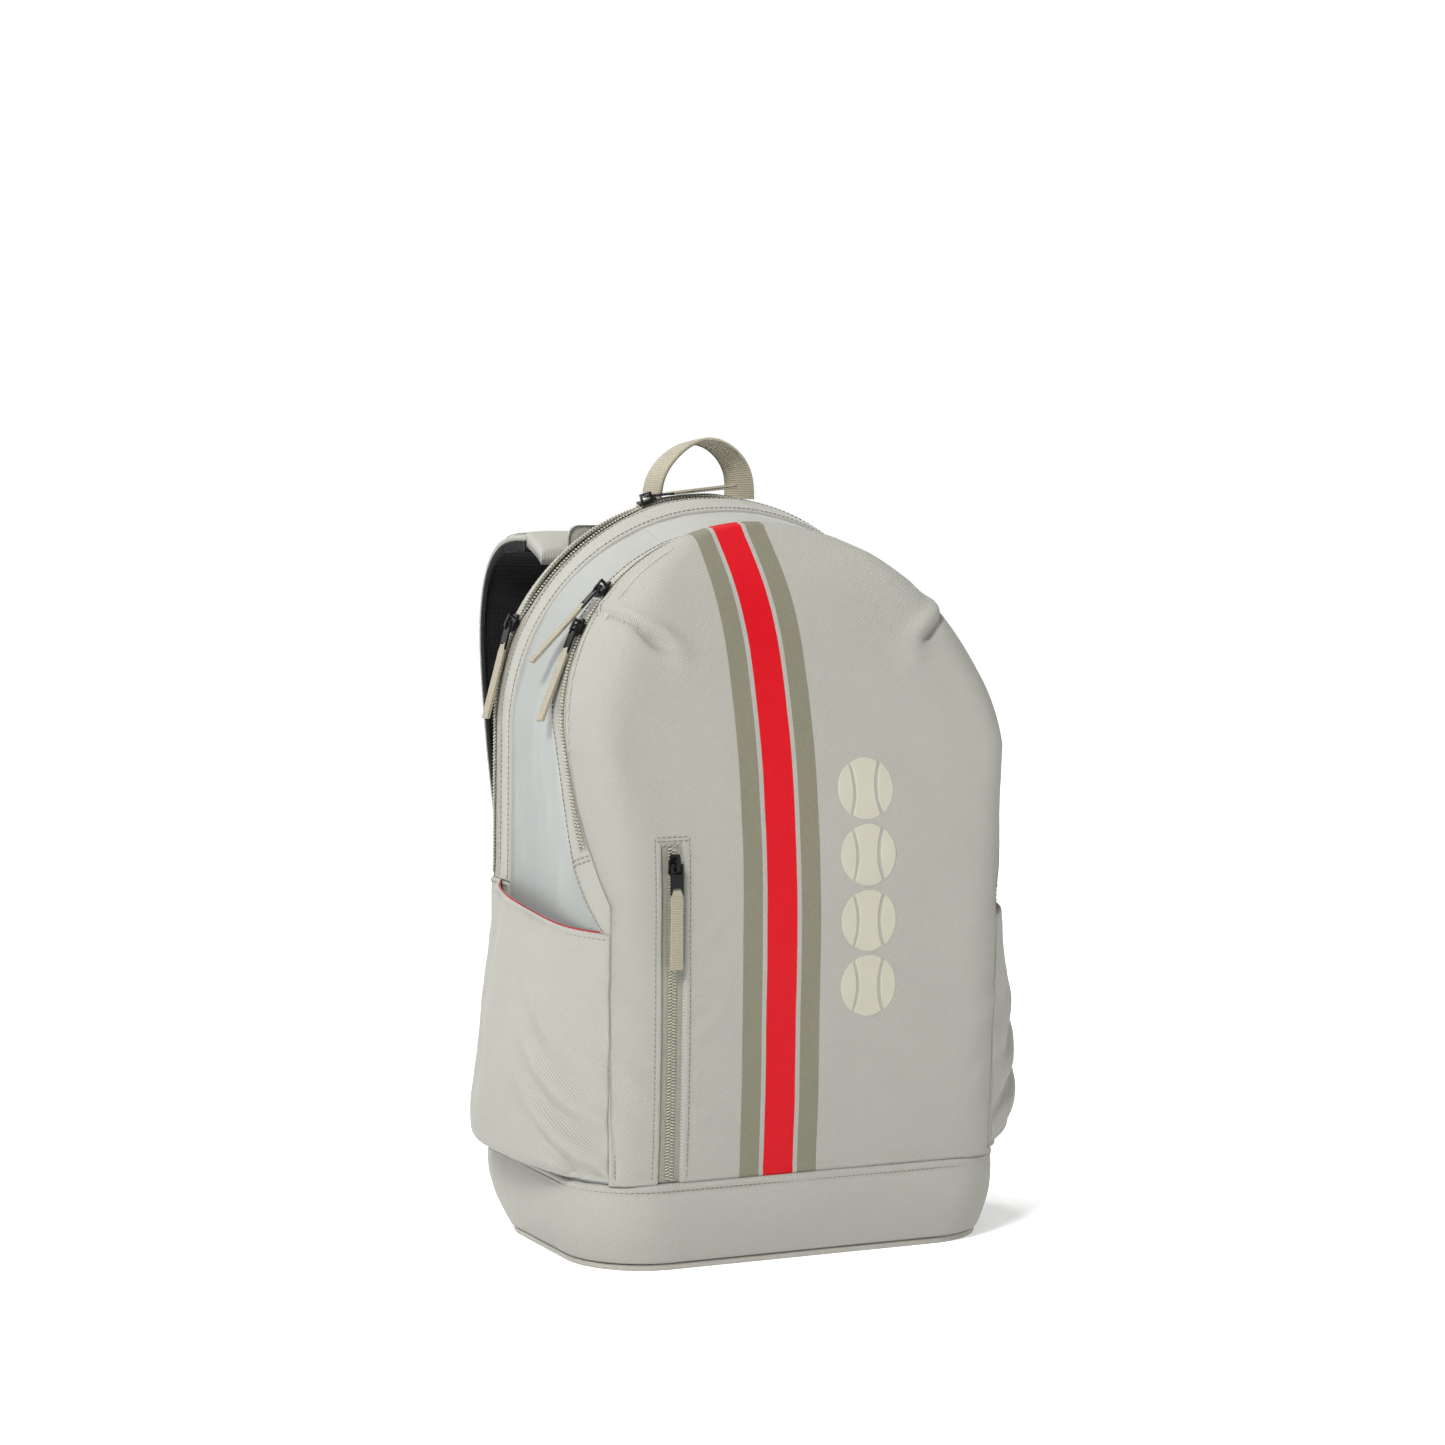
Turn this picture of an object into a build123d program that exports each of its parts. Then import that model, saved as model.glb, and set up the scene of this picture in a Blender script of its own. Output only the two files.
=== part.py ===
"""Racket backpack: a soft shell of sewn panels with zips, pockets, straps and padded back.

Millimetres.  +Z is up, -Y is the front of the bag and +X is its right-hand side seen from the front.
The origin is the centre of the flat underside of the base.
"""
from build123d import *
from math import cos, radians, sin, tan
import os

# ---- Driving dimensions -------------------------------------------------------------------------
HALF_W = 150.0            # half width of the body
FRONT_Y = -102.0          # furthest forward point of the front panel
BACK_Y = 92.0             # outer face of the back panel
FRONT_CORNER = 50.0       # plan radius of the front corners
REAR_CORNER = 30.0        # plan radius of the rear corners
WALL = 3.0                # thickness of a lined panel
BOOT_H = 55.0             # height of the boot, the reinforced lower band
SPLIT_Z = 228.0           # seam level at the lower ends of the main zip

RIM_LEAN = 20.3           # the front zip's arch leans back by this angle
RIM_Z = 319.0             # centre of the front arch
RIM_Y = -60.0
RIM_R = 150.0
RIM_CONE = 10.0           # the front zip's tape flares towards the back by this angle
TAPE_END = 24.0           # depth of the front zip's tape behind the rim
FLAP_EDGE = 5.2           # the flap's rolled edge reaches this far behind the rim
TAPE_START = 5.7          # the front zip's tape begins here, just behind the flap's edge
FRONT_CHAIN = 10.4        # centre line of the front zip's chain behind the rim
FOLD_Z = 288.0            # height of the line about which the front flap folds

MAIN_R = 148.0            # radius of the main zip's arch
MAIN_Z = 326.0            # its centre
SIDE_END_Y = 58.0         # the side panels end here and the main zip begins
MAIN_CHAIN_Y = 70.0       # centre line of the main zip's chain
CHAIN_GAP = 4.0           # half the gap between the main zip's two tapes
MAIN_TAPE_END_Y = 82.0
BACK_R = 138.0            # radius of the back panel's arch
MOUTH = (108.0, 152.0)    # the main zip is open between these angles of its arch

DIVIDER_DEPTH = 26.0      # the front pocket's rear wall lies this far behind the rim
LINER = 2.0
FIT_GAP = 0.4             # clearance between bodies that move past each other
SEW_GAP = 0.05            # room between neighbouring solids of the same body

WEBBING_W = 25.0
WEBBING_T = 1.8
TAB_W = 8.5
TAB_T = 2.2
TAB_L = 46.0

os.makedirs("parts", exist_ok=True)

# ---- Reference planes ---------------------------------------------------------------------------
LEAN_SIN = sin(radians(RIM_LEAN))
LEAN_COS = cos(radians(RIM_LEAN))
RIM_PLANE = Plane(origin=(0, RIM_Y, RIM_Z), x_dir=(1, 0, 0), z_dir=(0, -LEAN_COS, LEAN_SIN))


def upright(y, z=MAIN_Z):
    """A vertical plane facing the front, with its origin at the main arch's centre height."""
    return Plane(origin=(0, y, z), x_dir=(1, 0, 0), z_dir=(0, -1, 0))


def save(part, name):
    """Label a finished sub-part and write it out."""
    part.label = name
    export_step(part, f"parts/{name}.step")


# ---- Outlines shared by several panels -----------------------------------------------------------
def arch(radius, foot):
    """A closed arch: a half circle on two straight legs of length foot."""
    with BuildSketch() as outline:
        with BuildLine():
            CenterArc((0, 0), radius, 0, 180)
            Polyline((-radius, 0), (-radius, -foot), (radius, -foot), (radius, 0))
        make_face()
    return outline.sketch


def plan(inset=0.0, front=FRONT_Y, back=BACK_Y, half=HALF_W):
    """The body's rounded outline seen from above."""
    with BuildSketch() as outline:
        with Locations((0, (front + back) / 2)):
            Rectangle(2 * (half - inset), back - front - 2 * inset)
        fillet(outline.vertices().group_by(Axis.Y)[0], FRONT_CORNER - inset)
        fillet(outline.vertices().group_by(Axis.Y)[-1], REAR_CORNER - inset)
    return outline.sketch


def rim_foot(depth, level):
    """Length of an arch's legs on the rim plane moved by depth, so that they end at a level."""
    return (RIM_Z + depth * LEAN_SIN - level) / LEAN_COS


# side view of the front panel, as (y, z) points from the boot to the top of the arch
FRONT_PROFILE = [(-97, 40), (-98, 55), (-100.5, 120), (-100.5, 190), (-97.5, 250), (-89, 310),
                 (-76, 360), (-60, 400), (-39, 430), (-5, 463)]
DOME_SECTIONS = [(0, 0), (9, 1.5), (20, 8), (34, 28)]   # depth in front of the rim, loss of radius


def behind_front(shift):
    """A block behind the front panel's side profile; shift moves the profile inwards."""
    points = [(y + shift, z - shift * 0.6) for y, z in FRONT_PROFILE]
    far = BACK_Y + 20
    with BuildPart() as block:
        with BuildSketch(Plane.YZ.offset(-2 * HALF_W)):
            with BuildLine():
                Spline(*points)
                Polyline(points[-1], (far, 500 - shift), (far, -10), (points[0][0], -10), points[0])
            make_face()
        extrude(amount=4 * HALF_W)
    return block.part


def body(inset):
    """The bag's whole volume above the boot, drawn in by inset: the outside at 0, the inside at WALL."""
    level = SPLIT_Z - 40
    tape_r = RIM_R + TAPE_END * tan(radians(RIM_CONE))
    with BuildPart() as volume:
        with BuildSketch(RIM_PLANE.offset(-TAPE_END)):
            add(arch(tape_r - inset, rim_foot(-TAPE_END, level)))
        with BuildSketch(RIM_PLANE):
            add(arch(RIM_R - inset, rim_foot(0, level)))
        loft(ruled=True)
        for depth, loss in DOME_SECTIONS:
            with BuildSketch(RIM_PLANE.offset(depth)):
                add(arch(RIM_R - loss - inset, rim_foot(depth, level)))
        loft()
        with BuildSketch(RIM_PLANE.offset(-TAPE_END)):
            add(arch(tape_r - inset, rim_foot(-TAPE_END, level)))
        with BuildSketch(upright(SIDE_END_Y)):
            add(arch(MAIN_R - inset, MAIN_Z - level))
        loft(ruled=True)
        with BuildSketch(upright(SIDE_END_Y)):
            add(arch(MAIN_R - inset, MAIN_Z - level))
        extrude(amount=-(MAIN_TAPE_END_Y - SIDE_END_Y))
        with BuildSketch(upright(MAIN_TAPE_END_Y)):
            add(arch(MAIN_R - inset, MAIN_Z - level))
        with BuildSketch(upright(BACK_Y - inset)):
            add(arch(BACK_R - inset, MAIN_Z - level))
        loft(ruled=True)
        with BuildSketch(Plane.XY.offset(level - 1)):
            Rectangle(4 * HALF_W, 4 * HALF_W)
        extrude(amount=SPLIT_Z - level + 1, mode=Mode.SUBTRACT)
        with BuildSketch(Plane.XY.offset(BOOT_H)):
            add(plan())
        extrude(amount=SPLIT_Z - BOOT_H)
        with BuildSketch(Plane.XY.offset(BOOT_H)):
            add(plan(inset))
        extrude(amount=500, mode=Mode.INTERSECT)
        add(behind_front(inset), mode=Mode.INTERSECT)
    return volume.part


def trimmed(part, *planes):
    """The piece of a part that lies on the side each plane's normal points to."""
    with BuildPart() as piece:
        add(part)
        for plane in planes:
            split(bisect_by=plane, keep=Keep.TOP)
    return piece.part


def above(z):
    return Plane.XY.offset(z)


def below(z):
    return Plane(origin=(0, 0, z), z_dir=(0, 0, -1))


def behind(y):
    return Plane(origin=(0, y, 0), z_dir=(0, 1, 0))


def ahead(y):
    return Plane(origin=(0, y, 0), z_dir=(0, -1, 0))


def right_of(x):
    return Plane(origin=(x, 0, 0), z_dir=(1, 0, 0))


def left_of(x):
    return Plane(origin=(x, 0, 0), z_dir=(-1, 0, 0))


def before_rim(depth):
    """Keeps what lies in front of the rim plane moved back by depth."""
    return RIM_PLANE.offset(-depth)


def after_rim(depth):
    """Keeps what lies behind the rim plane moved back by depth."""
    return Plane(origin=RIM_PLANE.offset(-depth).origin, z_dir=-RIM_PLANE.z_dir)


def past_angle(angle, side):
    """Cuts the main arch along its radius at an angle: side 1 keeps larger angles, -1 smaller ones."""
    turn = radians(angle)
    return Plane(origin=(0, 0, MAIN_Z), z_dir=(-sin(turn) * side, 0, cos(turn) * side))


with BuildPart() as shell:
    add(body(0))
    add(body(WALL), mode=Mode.SUBTRACT)


# ---- Base and boot -------------------------------------------------------------------------------
BASE_FRONT = -92.0
BASE_BACK = 64.0
BASE_HALF = 143.0
PIPING_T = 4.0
BOOT_BULGE_Z = 32.0       # the boot's sides are fullest between here and its top
BOARD_T = 3.0
BOARD_INSET = 4.0
BOOT_BACK = 87.0
BOOT_FRONT = -97.0
BOOT_TOP_FRONT = -98.0


def base_outline(inset=0.0):
    """The outline of the flat underside."""
    return plan(inset, BASE_FRONT, BASE_BACK, BASE_HALF)


def boot(inset):
    """The boot as a solid: it widens from the base to the seam with the panels above."""
    with BuildPart() as solid:
        with BuildSketch(Plane.XY.offset(PIPING_T + SEW_GAP)):
            add(base_outline(inset - 1))
        with BuildSketch(Plane.XY.offset(BOOT_BULGE_Z)):
            add(plan(inset, BOOT_FRONT, BOOT_BACK, HALF_W - 0.5))
        with BuildSketch(Plane.XY.offset(BOOT_H)):
            add(plan(inset, BOOT_TOP_FRONT, BACK_Y, HALF_W))
        loft()
    return solid.part


with BuildPart() as base_boot:
    add(boot(0))
    add(boot(WALL), mode=Mode.SUBTRACT)
save(base_boot.part, "base_boot")

with BuildPart() as base_panel:
    with BuildSketch():
        add(base_outline(PIPING_T + SEW_GAP))
    extrude(amount=LINER)
save(base_panel.part, "base_panel")

with BuildPart() as base_piping:
    with BuildSketch():
        add(base_outline())
        add(base_outline(PIPING_T), mode=Mode.SUBTRACT)
    extrude(amount=PIPING_T)
    fillet(base_piping.edges().filter_by(Plane.XY), 1.2)
save(base_piping.part, "base_piping")

with BuildPart() as base_board:
    with BuildSketch(Plane.XY.offset(LINER + SEW_GAP)):
        add(base_outline(PIPING_T + BOARD_INSET))
    extrude(amount=BOARD_T)
save(base_board.part, "base_board")

# ---- Panels of the body --------------------------------------------------------------------------
FRONT_SEAM_Y = -88.0      # the front panel's side seams below the zip
BAND_Y = 40.0             # the side panel ends here and a plain band runs beside the main zip
TOP_PANEL_HALF = 62.0

# the upright pocket zip on the front panel: x runs down the chain, z stands out of the panel
WELT_X = -98.0
WELT_SLIDER_Z = 254.0
WELT_FACE_Y = -97.4
WELT_TILT = 0.6
WELT_RISE = 12.0          # the zip reaches this far above its slider
WELT_DROP = 190.0         # and this far below
WELT_HALF = 8.0
WELT_TAPE_T = 1.4
WELT_CUT = 10.0           # the slot for the zip is cut this far each way from the panel's face
WELT_PLANE = Plane(origin=(WELT_X, WELT_FACE_Y, WELT_SLIDER_Z),
                   x_dir=(0, -sin(radians(WELT_TILT)), -cos(radians(WELT_TILT))),
                   z_dir=(0, -cos(radians(WELT_TILT)), sin(radians(WELT_TILT))))


def welt_strip(half_width, low, high, margin=0.0):
    """A straight strip along the pocket zip, between two heights above the tape's face."""
    with BuildPart() as strip:
        with BuildSketch(WELT_PLANE.offset(low)):
            with Locations(((WELT_DROP - WELT_RISE) / 2, 0)):
                Rectangle(WELT_RISE + WELT_DROP - 2 * margin, 2 * half_width)
        extrude(amount=high - low)
    return strip.part


with BuildPart() as front_panel_lower:
    add(trimmed(shell.part, ahead(FRONT_SEAM_Y), above(BOOT_H + SEW_GAP), below(SPLIT_Z)))
    add(trimmed(shell.part, before_rim(FLAP_EDGE), above(SPLIT_Z), below(FOLD_Z - FIT_GAP)))
    add(welt_strip(WELT_HALF, -WELT_CUT, WELT_CUT), mode=Mode.SUBTRACT)
save(front_panel_lower.part, "front_panel_lower")

with BuildPart() as front_flap:
    add(trimmed(shell.part, before_rim(FLAP_EDGE), above(FOLD_Z)))
save(front_flap.part, "front_flap")

for side_name, side_plane in (("left", left_of(0)), ("right", right_of(0))):
    with BuildPart() as side_lower:
        add(trimmed(shell.part, behind(FRONT_SEAM_Y + SEW_GAP), ahead(SIDE_END_Y), above(BOOT_H + SEW_GAP),
                    below(SPLIT_Z - SEW_GAP), side_plane))
    save(side_lower.part, f"side_lower_{side_name}")

for side_name, side_plane in (("left", left_of(-TOP_PANEL_HALF)), ("right", right_of(TOP_PANEL_HALF))):
    with BuildPart() as side_panel:
        add(trimmed(shell.part, after_rim(TAPE_END), ahead(BAND_Y), above(SPLIT_Z), side_plane))
    save(side_panel.part, f"side_panel_{side_name}")

with BuildPart() as top_panel:
    add(trimmed(shell.part, after_rim(TAPE_END), ahead(BAND_Y), above(MAIN_Z),
                right_of(SEW_GAP - TOP_PANEL_HALF), left_of(TOP_PANEL_HALF - SEW_GAP)))
save(top_panel.part, "top_panel")

with BuildPart() as main_band:
    add(trimmed(shell.part, behind(BAND_Y + SEW_GAP), ahead(SIDE_END_Y), above(SPLIT_Z)))
save(main_band.part, "main_band")

with BuildPart() as back_gusset:
    add(trimmed(shell.part, behind(MAIN_TAPE_END_Y + SEW_GAP), ahead(BACK_Y - WALL), above(SPLIT_Z)))
    add(trimmed(shell.part, behind(SIDE_END_Y + SEW_GAP), ahead(BACK_Y - WALL),
                above(BOOT_H + SEW_GAP), below(SPLIT_Z)))
save(back_gusset.part, "back_gusset")

with BuildPart() as back_panel:
    add(trimmed(body(0), behind(BACK_Y - WALL + SEW_GAP), above(BOOT_H + SEW_GAP)))
save(back_panel.part, "back_panel")

# ---- Main zip ------------------------------------------------------------------------------------
CHAIN_H = 1.3             # how far a zip's teeth stand above its tape
CHAIN_HALF = 1.7
FRONT_CHAIN_LOW_Z = SPLIT_Z + 37
BINDING_REACH = 9.0       # the flap's inner binding runs this far forward of the rim

with BuildPart() as main_zip_tape_front:
    add(trimmed(shell.part, behind(SIDE_END_Y + SEW_GAP), ahead(MAIN_CHAIN_Y - CHAIN_GAP), above(SPLIT_Z)))
save(main_zip_tape_front.part, "main_zip_tape_front")

with BuildPart() as main_zip_tape_back:
    add(trimmed(shell.part, behind(MAIN_CHAIN_Y + CHAIN_GAP), ahead(MAIN_TAPE_END_Y), above(SPLIT_Z)))
save(main_zip_tape_back.part, "main_zip_tape_back")

raised = body(-CHAIN_H)
with BuildPart() as teeth:
    add(raised)
    add(body(WALL / 2), mode=Mode.SUBTRACT)
closed_ends = ((past_angle(MOUTH[0], -1), right_of(-HALF_W / 2)), (past_angle(MOUTH[1], 1), left_of(0)))
with BuildPart() as main_zip_chain:
    for end_plane, side_plane in closed_ends:
        add(trimmed(shell.part, behind(MAIN_CHAIN_Y - CHAIN_GAP + SEW_GAP),
                    ahead(MAIN_CHAIN_Y + CHAIN_GAP - SEW_GAP), above(SPLIT_Z), end_plane, side_plane))
        add(trimmed(teeth.part, behind(MAIN_CHAIN_Y - CHAIN_HALF), ahead(MAIN_CHAIN_Y + CHAIN_HALF),
                    above(SPLIT_Z), end_plane, side_plane))
save(main_zip_chain.part, "main_zip_chain")

# ---- Front zip -----------------------------------------------------------------------------------
with BuildPart() as front_zip_tape:
    add(trimmed(shell.part, after_rim(TAPE_START), before_rim(TAPE_END - SEW_GAP), above(SPLIT_Z)))
save(front_zip_tape.part, "front_zip_tape")

with BuildPart() as front_chain:
    add(raised)
    add(body(0), mode=Mode.SUBTRACT)
front_teeth = trimmed(front_chain.part, after_rim(FRONT_CHAIN - CHAIN_HALF),
                      before_rim(FRONT_CHAIN + CHAIN_HALF), above(FRONT_CHAIN_LOW_Z))
save(front_teeth, "front_zip_chain")

with BuildPart() as flap_tape:
    add(body(WALL + SEW_GAP))
    add(body(WALL + LINER), mode=Mode.SUBTRACT)
flap_binding = trimmed(flap_tape.part, before_rim(FLAP_EDGE - 1), after_rim(-BINDING_REACH),
                       above(FOLD_Z + 4))
save(flap_binding, "front_flap_binding")


# ---- Pocket zip on the front ---------------------------------------------------------------------
save(welt_strip(WELT_HALF - SEW_GAP, -WELT_TAPE_T, 0, SEW_GAP), "welt_tape")
save(welt_strip(CHAIN_HALF, 0, CHAIN_H, 2.0), "welt_chain")

WELT_BAG_Y = -90.0
WELT_BAG_W = 130.0
WELT_BAG_H = 170.0
WELT_BAG_CENTRE = (WELT_X + 48, WELT_BAG_Y, WELT_SLIDER_Z - 78)
with BuildPart() as welt_pocket_bag:
    with BuildSketch(Plane(origin=WELT_BAG_CENTRE, x_dir=(1, 0, 0), z_dir=(0, -1, 0))):
        RectangleRounded(WELT_BAG_W, WELT_BAG_H, 12)
    extrude(amount=LINER)
save(welt_pocket_bag.part, "welt_pocket_bag")

# ---- Sliders and pulls ---------------------------------------------------------------------------
SLIDER_L = 12.5
SLIDER_W = 9.0
SLIDER_T = 1.5
SKIRT_T = 0.9
BRIDGE_W = 2.4
BRIDGE_L = 8.0
BRIDGE_H = 4.6
BRIDGE_T = 1.0
LINK_L = 20.0
LINK_W = 8.2
LINK_T = 1.4
LINK_ARM = 1.3            # width of metal round the link's two slots
PIN_SLOT_L = 5.2
TAB_SLOT_L = 3.2
TAB_SLOT_END = 3.9        # the tab slot's middle, back from the link's far end
SLIDER_TAPER = 1.4        # the plate is narrower than its width at the pull's end, on each side
TAB_FOLD_T = 1.2          # thickness of the tab's webbing where it turns through the link
PIN_Z = CHAIN_H + FIT_GAP + SLIDER_T + 2.3      # height of the pull's hinge above the tape


def on_arch(base, radius, angle, cone=0.0):
    """A plane on an arch at an angle: x runs along the chain, z stands out of the tape."""
    turn = radians(angle)
    radial = base.x_dir * cos(turn) + base.y_dir * sin(turn)
    along = base.x_dir * -sin(turn) + base.y_dir * cos(turn)
    out = radial * cos(radians(cone)) + base.z_dir * sin(radians(cone))
    return Plane(origin=base.origin + radial * radius, x_dir=along, z_dir=out)


def yawed(place, yaw):
    """The plane turned about its own normal."""
    turn = radians(yaw)
    return Plane(origin=place.origin, x_dir=place.x_dir * cos(turn) + place.y_dir * sin(turn),
                 z_dir=place.z_dir)


def laid(place, yaw, pitch):
    """The plane of a pull: turned about the slider's normal, then dipped towards the cloth at its pin."""
    turned = yawed(place, yaw)
    dip = radians(pitch)
    pin = place.origin + place.z_dir * PIN_Z
    along = turned.x_dir * cos(dip) - turned.z_dir * sin(dip)
    out = turned.x_dir * sin(dip) + turned.z_dir * cos(dip)
    return Plane(origin=pin - out * PIN_Z, x_dir=along, z_dir=out)


def lengthwise(place):
    """The plane through a slider's middle that its bridge is drawn on."""
    return Plane(origin=place.origin, x_dir=place.x_dir, z_dir=-place.y_dir)


def slider(place):
    """A zip slider that sits over the chain: a tapered plate with two skirts and a bridge for the pull."""
    top = CHAIN_H + FIT_GAP
    with BuildPart() as body_part:
        with BuildSketch(place.offset(top)):
            with BuildLine():
                Polyline((-SLIDER_L / 2, -SLIDER_W / 2 + SLIDER_TAPER), (SLIDER_L / 2, -SLIDER_W / 2),
                         (SLIDER_L / 2, SLIDER_W / 2), (-SLIDER_L / 2, SLIDER_W / 2 - SLIDER_TAPER),
                         close=True)
            plate = make_face()
            fillet(plate.vertices(), 1.1)
        extrude(amount=SLIDER_T)
        with BuildSketch(place.offset(FIT_GAP)):
            for side in (-1, 1):
                with Locations((1, side * (SLIDER_W / 2 - SLIDER_TAPER))):
                    Rectangle(SLIDER_L - 5, SKIRT_T)
        extrude(amount=top - FIT_GAP + 0.2)
        with BuildSketch(lengthwise(place)):
            with Locations((0, top + SLIDER_T + BRIDGE_H / 2 - 0.1)):
                Rectangle(BRIDGE_L, BRIDGE_H)
            with Locations((0, top + SLIDER_T + (BRIDGE_H - BRIDGE_T) / 2 - 0.1)):
                Rectangle(BRIDGE_L - 2 * BRIDGE_T, BRIDGE_H - BRIDGE_T, mode=Mode.SUBTRACT)
        extrude(amount=BRIDGE_W / 2, both=True)
    return body_part.part


def pull_link(place):
    """The flat metal link of a pull, which points along the plane's x axis from the slider's bridge."""
    slot = LINK_W - 2 * LINK_ARM
    with BuildPart() as link:
        with BuildSketch(place.offset(PIN_Z - LINK_T / 2)):
            with Locations((LINK_L / 2 - LINK_ARM / 2, 0)):
                RectangleRounded(LINK_L, LINK_W, 1.2)
            with Locations(((PIN_SLOT_L + LINK_ARM) / 2, 0)):
                Rectangle(PIN_SLOT_L, slot, mode=Mode.SUBTRACT)
            with Locations((LINK_L - TAB_SLOT_END, 0)):
                Rectangle(TAB_SLOT_L, slot, mode=Mode.SUBTRACT)
        extrude(amount=LINK_T)
    return link.part


def pull_tab(place):
    """The ribbed webbing tab, folded through the link's far slot and sewn to itself."""
    start = LINK_L - TAB_SLOT_END - 1
    with BuildPart() as tab:
        with BuildSketch(place.offset(PIN_Z - TAB_T / 2)):
            with Locations((LINK_L + TAB_L / 2 - 1.2, 0)):
                RectangleRounded(TAB_L, TAB_W, 0.8)
        extrude(amount=TAB_T)
        with BuildSketch(lengthwise(place)):
            for layer in (-1, 1):
                with Locations(((start + LINK_L) / 2, PIN_Z + layer * (LINK_T + TAB_FOLD_T + 2 * 0.1) / 2)):
                    Rectangle(LINK_L - start, TAB_FOLD_T)
            with Locations((start + TAB_FOLD_T / 2, PIN_Z)):
                Rectangle(TAB_FOLD_T, LINK_T + 2 * TAB_FOLD_T)
        extrude(amount=(LINK_W - 2 * LINK_ARM) / 2 - FIT_GAP, both=True)
        with BuildPart(mode=Mode.PRIVATE) as link_room:
            with BuildSketch(place.offset(PIN_Z - LINK_T / 2 - SEW_GAP)):
                with Locations((LINK_L / 2 - LINK_ARM / 2, 0)):
                    RectangleRounded(LINK_L + 0.1, LINK_W + 0.1, 1.2)
                with Locations((LINK_L - TAB_SLOT_END, 0)):
                    Rectangle(TAB_SLOT_L - 0.2, LINK_W - 2 * LINK_ARM - 0.2, mode=Mode.SUBTRACT)
            extrude(amount=LINK_T + 2 * SEW_GAP)
        add(link_room.part, mode=Mode.SUBTRACT)
    return tab.part


MAIN_ARCH = upright(MAIN_CHAIN_Y)
FRONT_ARCH = RIM_PLANE.offset(-FRONT_CHAIN)
FRONT_CHAIN_R = RIM_R + FRONT_CHAIN * tan(radians(RIM_CONE))

slider_places = {
    "main_slider_left": (on_arch(MAIN_ARCH, MAIN_R, 154), 4.0, 10.0),
    "main_slider_top": (on_arch(MAIN_ARCH, MAIN_R, 106), 180.0, 10.0),
    "front_slider_upper": (on_arch(FRONT_ARCH, FRONT_CHAIN_R, 135, RIM_CONE), -21.0, 3.0),
    "front_slider_lower": (on_arch(FRONT_ARCH, FRONT_CHAIN_R, 147, RIM_CONE), -10.0, 10.0),
    "welt_slider": (WELT_PLANE, 0.0, 0.0),
}
for slider_name, (slider_place, yaw, pitch) in slider_places.items():
    save(slider(slider_place), slider_name)
    save(pull_link(laid(slider_place, yaw, pitch)), slider_name.replace("slider", "link"))
    save(pull_tab(laid(slider_place, yaw, pitch)), slider_name.replace("slider", "tab"))

# ---- Side pockets --------------------------------------------------------------------------------
POCKET_FRONT = (130.0, FRONT_SEAM_Y)
POCKET_REAR = (149.5, 56.0)
POCKET_WALL = 2.0
POCKET_LEVELS = [(57.0, 15.0), (84.0, 26.0), (150.0, 21.0), (240.0, 7.0)]    # height, bulge
POCKET_TOP_FRONT = 205.0
POCKET_TOP_REAR = 234.0
LINING_T = 1.0
POCKET_LIP = Plane(origin=(0, FRONT_SEAM_Y, POCKET_TOP_FRONT), x_dir=(1, 0, 0),
                   z_dir=(0, POCKET_TOP_REAR - POCKET_TOP_FRONT, FRONT_SEAM_Y - POCKET_REAR[1]))


def pocket_volume(side, drawn_in, floor):
    """What a side pocket's outer wall encloses, less drawn_in all round."""
    with BuildPart() as volume:
        for level, bulge in POCKET_LEVELS:
            with BuildSketch(Plane.XY.offset(max(level, floor))):
                with BuildLine():
                    front = (side * (POCKET_FRONT[0] - drawn_in * 0.3), POCKET_FRONT[1] + drawn_in)
                    rear = (side * (POCKET_REAR[0] - drawn_in * 0.3), POCKET_REAR[1] - drawn_in)
                    belly = (side * (HALF_W + bulge - drawn_in), (FRONT_SEAM_Y + POCKET_REAR[1]) / 2)
                    shoulder_front = (side * (HALF_W - 4 + bulge * 0.72 - drawn_in), FRONT_SEAM_Y + 26)
                    shoulder_rear = (side * (HALF_W + bulge * 0.8 - drawn_in), POCKET_REAR[1] - 14)
                    Spline(front, shoulder_front, belly, shoulder_rear, rear)
                    Polyline(rear, (side * 120, POCKET_REAR[1] - drawn_in),
                             (side * 120, POCKET_FRONT[1] + drawn_in), front)
                make_face()
        loft()
        split(bisect_by=POCKET_LIP, keep=Keep.TOP)
        with BuildSketch(Plane.XY.offset(BOOT_H - 20)):
            add(plan(-FIT_GAP / 2))
        extrude(amount=300, mode=Mode.SUBTRACT)
    return volume.part


with BuildPart() as pocket_linings:
    for side in (-1, 1):
        add(pocket_volume(side, POCKET_WALL + SEW_GAP, 57 + POCKET_WALL + SEW_GAP))
        add(pocket_volume(side, POCKET_WALL + LINING_T, 57 + POCKET_WALL + LINING_T), mode=Mode.SUBTRACT)
save(pocket_linings.part, "pocket_linings")

for side_name, side in (("left", -1), ("right", 1)):
    with BuildPart() as side_pocket:
        add(pocket_volume(side, 0, 0))
        add(pocket_volume(side, POCKET_WALL, 57 + POCKET_WALL), mode=Mode.SUBTRACT)
    save(side_pocket.part, f"side_pocket_{side_name}")

# ---- Inside --------------------------------------------------------------------------------------
INSIDE_GAP = 1.0
DIVIDER_FOOT_Y = -62.0
DIVIDER_KNEE_Z = RIM_Z - 78.0
FOAM_TOP = 330.0
FOAM_LOW = BOOT_H + 10
FOAM_HALF = 115.0
FOAM_Y = 84.0             # front face of the padding against the back panel
SLEEVE_HALF = 112.0
SLEEVE_FRONT_Y = 76.0
SLEEVE_LOW = BOOT_H + 12
SLEEVE_TOP = 302.0
cavity = body(WALL + INSIDE_GAP)


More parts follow.
